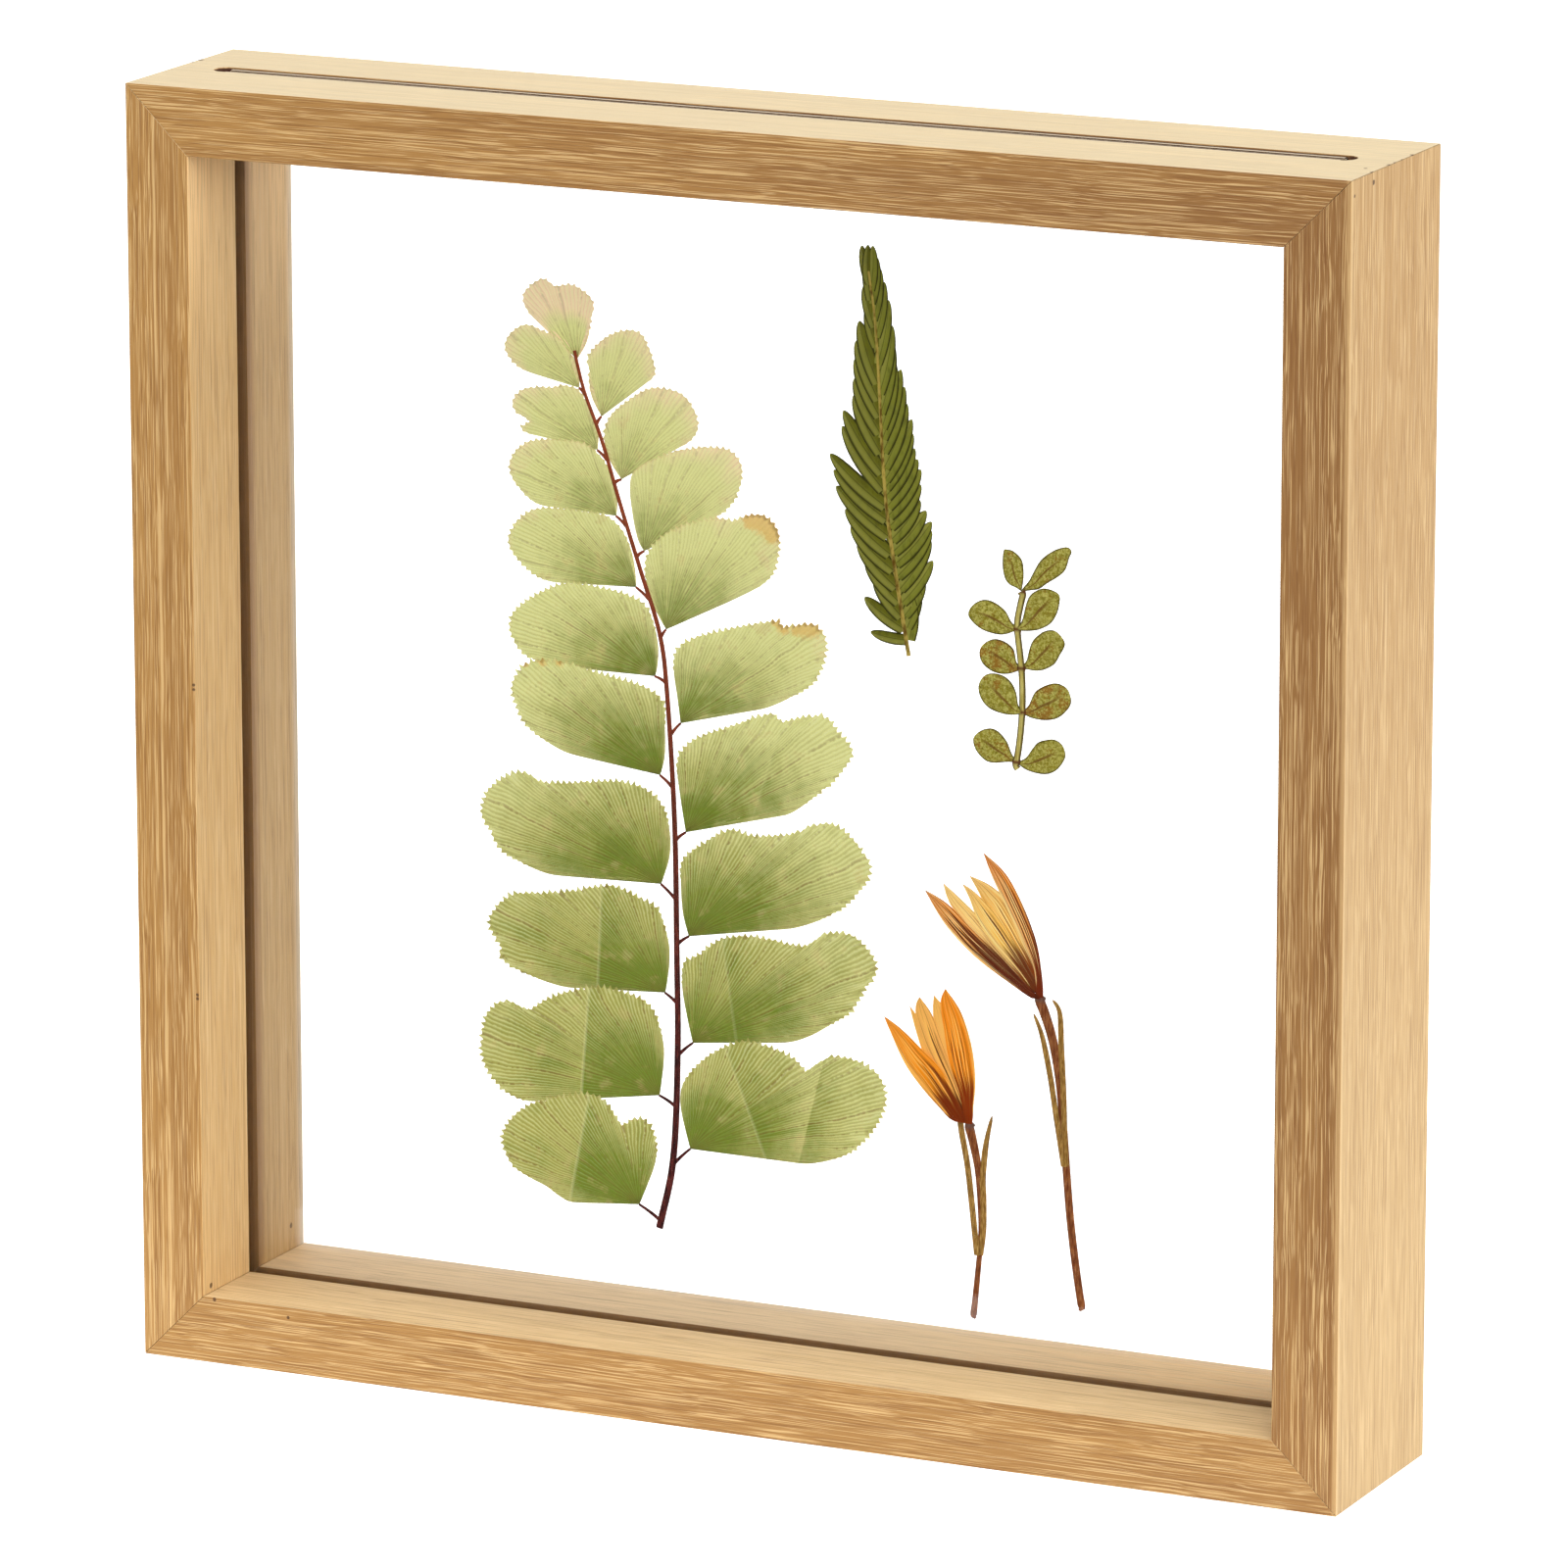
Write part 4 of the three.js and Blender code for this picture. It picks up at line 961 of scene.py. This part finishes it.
def addFeather():
    parts, sides, barks = [], [], []
    for word, side in (("left", -1), ("right", 1)):
        for leaflet in feather[word]:
            parts.append(leafletParts(leaflet, side))
            sides.append((side + 1) / 2)
            barks.append(0.0)
    route = curveThrough(feather["rachis"], 80)
    spine = np.insert(route, 1, -0.04, axis=1)
    width = np.linspace(*feather["rachisWidths"], len(route)) / 2
    # the wing behind the leaflets' feet: the green that joins them, kept dark as painted shade for the gaps
    # between them
    wing = spine[spine[:, 2] > feather["wingFrom"]] + (0, 0.12, 0)
    parts.append(tubeParts(spine, width, feather["depth"] / 2 - 0.02))
    parts.append(tubeParts(wing, feather["wing"], 0.04))
    counts = [len(points) for points, _, _ in parts]
    extra = {"side": np.repeat(sides + [0.0, 0.0], counts), "rachis": np.repeat(barks + [1.0, 0.0], counts)}
    addSurface("feather_leaf", "blade", featherMaterial(), "feather_leaf", joinParts(parts), extra)


addFeather()
print("feather leaf ready")

sprig = {
    "leaves": 5,
    "thickness": 0.11,
    "green": (136, 126, 38),
    "pale": (190, 182, 92),
    "brown": (150, 98, 36),
    "edge": (62, 50, 10),
    "rib": (112, 74, 28),
    "rings": (105, 112.7, 119.4, 125.3, 131.1),
    "blush": {"right_2": 0.36, "left_3": 0.3, "left_1": 0.1},
    "tail": 0.09,  # the share of a leaf's length that narrows to its ring on the stem
    "stemSwell": 1.2,  # how much wider the stem is than in the CAD
    "stem": (170, 150, 70),
    "stemLight": (206, 194, 112),
    "stemEdge": (64, 46, 16),
    "ring": (92, 46, 26),
}


def sprigMaterial():
    paint, graph = material("sprig_leaf")
    place = graph.place()
    across, along = graph.uv()
    speck = graph.noise(place, 2.2, 3, 0.8)
    blotch = graph.noise(place, 0.5, 2)
    blush = graph.attribute("blush")
    colour = speck.ease(0.4, 0.62).mix(sprig["green"], sprig["pale"])
    tan = ((blotch - 0.5) * 1.2 - speck + blush * 0.6).ease(-0.36, -0.16)
    colour = (tan * 0.75).mix(colour, sprig["brown"])
    dots = graph.noise(place, 4.0, 2).ease(0.58, 0.66)
    colour = (dots * 0.5).mix(colour, sprig["edge"])
    middle = abs(across - 0.5)
    rib = middle.ease(0.06, 0.02) * along.ease(0.85, 0.5)
    colour = (rib * 0.85).mix(colour, sprig["rib"])
    rim = graph.attribute("edge").ease(0.34, 0.08)
    colour = (rim * 0.85).mix(colour, sprig["edge"])
    graph.leafSurface(colour, 0.58, speck, 0.05)
    return paint


def addSprigLeaves(spine):
    paint = sprigMaterial()
    for word, side in (("left", -1), ("right", 1)):

        def foot(border):
            return np.argmin(border @ (2 * side, 1))

        def tip(border):
            return np.argmax(np.linalg.norm(border - border[foot(border)], axis=1))

        for i in range(1, sprig["leaves"] + 1):
            node = f"sprig_leaf_{word}_{i}"
            flat, plane, uv, edge = bladeGrid(node, foot, tip, 60, 21)
            v, s = uv[..., 0], uv[..., 1]
            start = flat[0, 0]
            ring = min(sprig["rings"], key=lambda height: abs(start[1] - height))
            joint = spine[np.argmin(np.abs(spine[:, 2] - ring))][[0, 2]]
            flat = flat + (joint - start) * bell(s, sprig["tail"])[..., None]
            cup = 0.05 * (2 * v - 1) ** 2 * np.sin(pi * s) - 0.02 * bell(v - 0.5, 0.05)
            half = sprig["thickness"] / 2 * np.clip(edge / 0.3, 0.4, 1)
            extra = {"edge": edge, "blush": np.full(edge.shape, sprig["blush"].get(f"{word}_{i}", 0.0))}
            addBlade(node, paint, "sprig_leaf", flat, plane, cup, half, uv, extra)


def addSprigStem(spine, half):
    full = sprig["stemSwell"] * half[len(half) // 2]
    swell = bell(spine[:, 2:3] - sprig["rings"], 0.35).sum(axis=1)
    parts = tubeParts(spine, full * (0.9 + 0.3 * swell), 0.22 + 0.03 * swell)
    ring = bell(parts[0][:, 2:3] / mm - sprig["rings"], 0.3).sum(axis=1)
    paint, graph = material("sprig_stem")
    streak = graph.noise(graph.stretch(graph.place(), (4, 4, 0.4)), 1.0, 3)
    rim = abs(graph.math("SINE", graph.uv()[0] * 2 * pi)).ease(0.95, 0.72)
    colour = streak.ease(0.3, 0.7).mix(sprig["stem"], sprig["stemLight"])
    colour = (rim * 0.85).mix(colour, sprig["stemEdge"])
    colour = graph.attribute("ring").mix(colour, sprig["ring"])
    graph.leafSurface(colour, 0.5, streak, 0.04)
    addSurface("sprig_stem", "tube", paint, "sprig_stem", parts, {"ring": ring})


sprigSpine, sprigHalf = stemRoute("sprig_stem", 160)
addSprigLeaves(sprigSpine)
addSprigStem(sprigSpine, sprigHalf)
print("sprig ready")

# A petal's colour, and those of its tip and its dark parts; how far its dark foot reaches; the
# strength of its dark right edge; its pale margin as a place across it, from 0 at the left edge to 1,
# and a half width; and its stripes, each a place across, a half width, where it ends, and a strength.
petalLooks = {
    "tall_outer_left": (
        (240, 158, 70), (214, 128, 54), (88, 22, 4), 0.54, 0.0, (0.02, 0.13),
        ((0.24, 0.05, 0.93, 0.9), (0.4, 0.055, 0.9, 0.95), (0.55, 0.04, 0.85, 0.9), (0.69, 0.05, 0.95, 0.95),
         (0.83, 0.045, 0.8, 0.85)),
    ),
    "tall_inner_left": (
        (250, 208, 122), (244, 200, 116), (160, 78, 22), 0.25, 0.4, (0.2, 0.08),
        ((0.35, 0.03, 0.9, 0.5), (0.55, 0.035, 0.95, 0.6), (0.75, 0.03, 0.8, 0.55)),
    ),
    "tall_middle": (
        (250, 196, 88), (240, 190, 104), (104, 38, 8), 0.4, 0.2, (0.1, 0.1),
        ((0.62, 0.045, 0.86, 1.0), (0.42, 0.025, 0.8, 0.5), (0.25, 0.025, 0.7, 0.4), (0.8, 0.03, 0.75, 0.5)),
    ),
    "tall_inner_right": (
        (250, 190, 86), (236, 184, 100), (130, 54, 10), 0.34, 0.0, (0.93, 0.12),
        ((0.3, 0.03, 0.85, 0.55), (0.5, 0.035, 0.9, 0.6), (0.7, 0.03, 0.8, 0.5)),
    ),
    "tall_outer_right": (
        (236, 148, 56), (208, 112, 40), (108, 30, 6), 0.3, 0.95, (0.05, 0.16),
        ((0.34, 0.045, 0.96, 0.75), (0.5, 0.035, 0.9, 0.8), (0.63, 0.04, 0.97, 0.75),
         (0.78, 0.05, 0.85, 0.8)),
    ),
    "short_outer_left": (
        (242, 146, 24), (238, 142, 36), (112, 34, 0), 0.32, 0.4, (0.08, 0.1),
        ((0.42, 0.035, 0.8, 0.55), (0.58, 0.045, 0.75, 0.6), (0.74, 0.05, 0.7, 0.65),
         (0.24, 0.03, 0.9, 0.45)),
    ),
    "short_inner_left": (
        (246, 192, 98), (240, 180, 90), (160, 86, 26), 0.2, 0.2, (0.15, 0.1),
        ((0.4, 0.03, 0.9, 0.4), (0.65, 0.03, 0.85, 0.4)),
    ),
    "short_middle": (
        (240, 178, 92), (238, 176, 88), (96, 32, 2), 0.18, 0.1, (0.38, 0.07),
        ((0.52, 0.04, 0.88, 1.0), (0.28, 0.03, 0.8, 0.4), (0.72, 0.03, 0.85, 0.45)),
    ),
    "short_inner_right": (
        (244, 190, 102), (242, 184, 92), (150, 80, 24), 0.2, 0.1, (0.8, 0.1),
        ((0.35, 0.03, 0.85, 0.35), (0.6, 0.03, 0.9, 0.35)),
    ),
    "short_outer_right": (
        (244, 142, 22), (238, 136, 26), (128, 42, 0), 0.34, 0.0, (0.97, 0.06),
        ((0.2, 0.035, 0.8, 0.6), (0.33, 0.035, 0.9, 0.6), (0.46, 0.03, 0.75, 0.6), (0.6, 0.035, 0.85, 0.5),
         (0.74, 0.03, 0.7, 0.45)),
    ),
}
petal = {
    "rows": 110,
    "columns": 61,
    "thickness": 0.08,
    "pleat": 0.03,
    "tallGold": (255, 232, 158),  # the light lines
    "shortGold": (255, 196, 96),
    "line": (138, 50, 12),  # the fine dark lines
    "stem": ((150, 92, 52), (110, 56, 28), (190, 140, 92)),
    "stemDepth": 0.32,
    "stemLeast": 0.25,  # the least half width of a stem
    "crown": (104, 82, 74),
    "footSwell": 0.35,  # how much wider a petal's foot is than in the CAD
    "longLeaf": ((170, 130, 66), (128, 92, 40), (206, 174, 110)),
    "longLeafThickness": 0.09,
}


def petalMaterial(name, looks, gold):
    paint, graph = material(name)
    across, along = graph.uv()
    body, tip, dark = looks[:3]
    colour = along.ease(0.5, 1.0).mix(body, tip)
    streak = graph.noise(graph.join(across * 12, along * 1.2), 1.0, 2)
    strengths = [stripe[3] for stripe in looks[-1]]
    lines = sum(strengths) / len(strengths)
    colour = (along.ease(0.6, 0.0) * 0.35).mix(colour, dark)
    colour = (streak.ease(0.52, 0.6) * 0.7).mix(colour, gold)
    colour = graph.attribute("pale").mix(colour, gold)
    colour = (streak.ease(0.47, 0.4) * lines * 0.8).mix(colour, petal["line"])
    shade = graph.attribute("dark")
    colour = ((shade - streak).ease(-0.2, 0.14) * 0.96).mix(colour, dark)
    glint = graph.noise(graph.join(across * 19, along * 1.4, 5.0), 1.0, 2)
    colour = (glint.ease(0.56, 0.66) * along.ease(0.02, 0.3) * 0.4).mix(colour, gold)
    graph.leafSurface(colour, 0.5, streak - shade, 0.05)
    return paint


# How dark a petal is at v across and s along it: the strongest of its stripes, each a bell across it
# that widens towards the foot, of its dark foot and of its right edge.
def petalTones(v, s, looks):
    footReach, edgeStrength, margin, stripes = looks[3:]
    phase = rng.uniform(0, 6, len(stripes) + 1)
    dark = np.zeros_like(v)
    spread = 1.2 + 2.0 * clamp(0.55 - s)
    for (place, width, end, strength), turn in zip(stripes, phase):
        line = place + 0.018 * np.sin(8 * s + turn) + 0.008 * np.sin(23 * s + 2 * turn)
        fade = clamp((end - s) / 0.25)
        dark = np.maximum(dark, strength * fade * bell(v - line, width * spread))
    place, width = margin
    pale = bell(v - place, width) * clamp((0.96 - s) / 0.3)
    pale = pale * clamp(s / 0.12) * 0.8
    wave = 0.05 * np.sin(19 * v + phase[-1])
    foot = clamp(1.15 - s / (1.4 * footReach + wave)) * (1 - 0.9 * pale)
    rightEdge = edgeStrength * bell(1 - v, 0.16) * clamp((0.85 - s) / 0.5)
    point = 0.5 * clamp((s - 0.93) / 0.07)
    for part in (foot, rightEdge, point):
        dark = np.maximum(dark, part)
    return dark, pale * (1 - dark)


def addFlower(flower):
    for word in ("outer_left", "inner_left", "middle", "inner_right", "outer_right"):
        node = f"{flower}_flower_petal_{word}"
        flat, plane, uv, edge = bladeGrid(node, lowest, highest, petal["rows"], petal["columns"])
        looks = petalLooks[f"{flower}_{word}"]
        v, s = uv[..., 0], uv[..., 1]
        middle = flat.mean(axis=1, keepdims=True)
        flat = middle + (flat - middle) * (1 + petal["footSwell"] * bell(s, 0.1))[..., None]
        dark, pale = petalTones(v, s, looks)
        pleat = petal["pleat"] * (dark - 0.5) * clamp(edge)
        half = petal["thickness"] / 2 * np.clip(edge / 0.4, 0.4, 1)
        paint = petalMaterial(f"{flower}_petal_{word}", looks, petal[flower + "Gold"])
        addBlade(node, paint, "petal", flat, plane, pleat, half, uv, {"dark": dark, "pale": pale})
    stemNode = f"{flower}_flower_stem"
    spine, half = stemRoute(stemNode, 120)
    half = np.maximum(half, petal["stemLeast"])
    half[-4:] = np.maximum(half[-4:], half[-5])
    half[:4] = np.minimum(half[:4], half[4])
    crown = (spine[:, 2].max() - 1.6, spine[:, 2].max() - 0.4, petal["crown"])
    stemPaint = stemMaterial(stemNode, petal["stem"], crown=crown)
    tube = tubeParts(spine, half, petal["stemDepth"] / 2, 14)
    addSurface(stemNode, "tube", stemPaint, "flower_stem", tube)
    leafPaint = stemMaterial(f"{flower}_long_leaf", petal["longLeaf"], 0.25)
    for word in ("left", "right"):
        node = f"{flower}_flower_leaf_{word}"
        flat, plane, uv, edge = bladeGrid(node, lowest, highest, 70, 9)
        fold = 0.03 * np.abs(2 * uv[..., 0] - 1) - 0.015
        half = petal["longLeafThickness"] / 2 * np.clip(edge / 0.2, 0.5, 1)
        addBlade(node, leafPaint, "long_leaf", flat, plane, fold, half, uv)


addFlower("tall")
addFlower("short")
print("flowers ready")
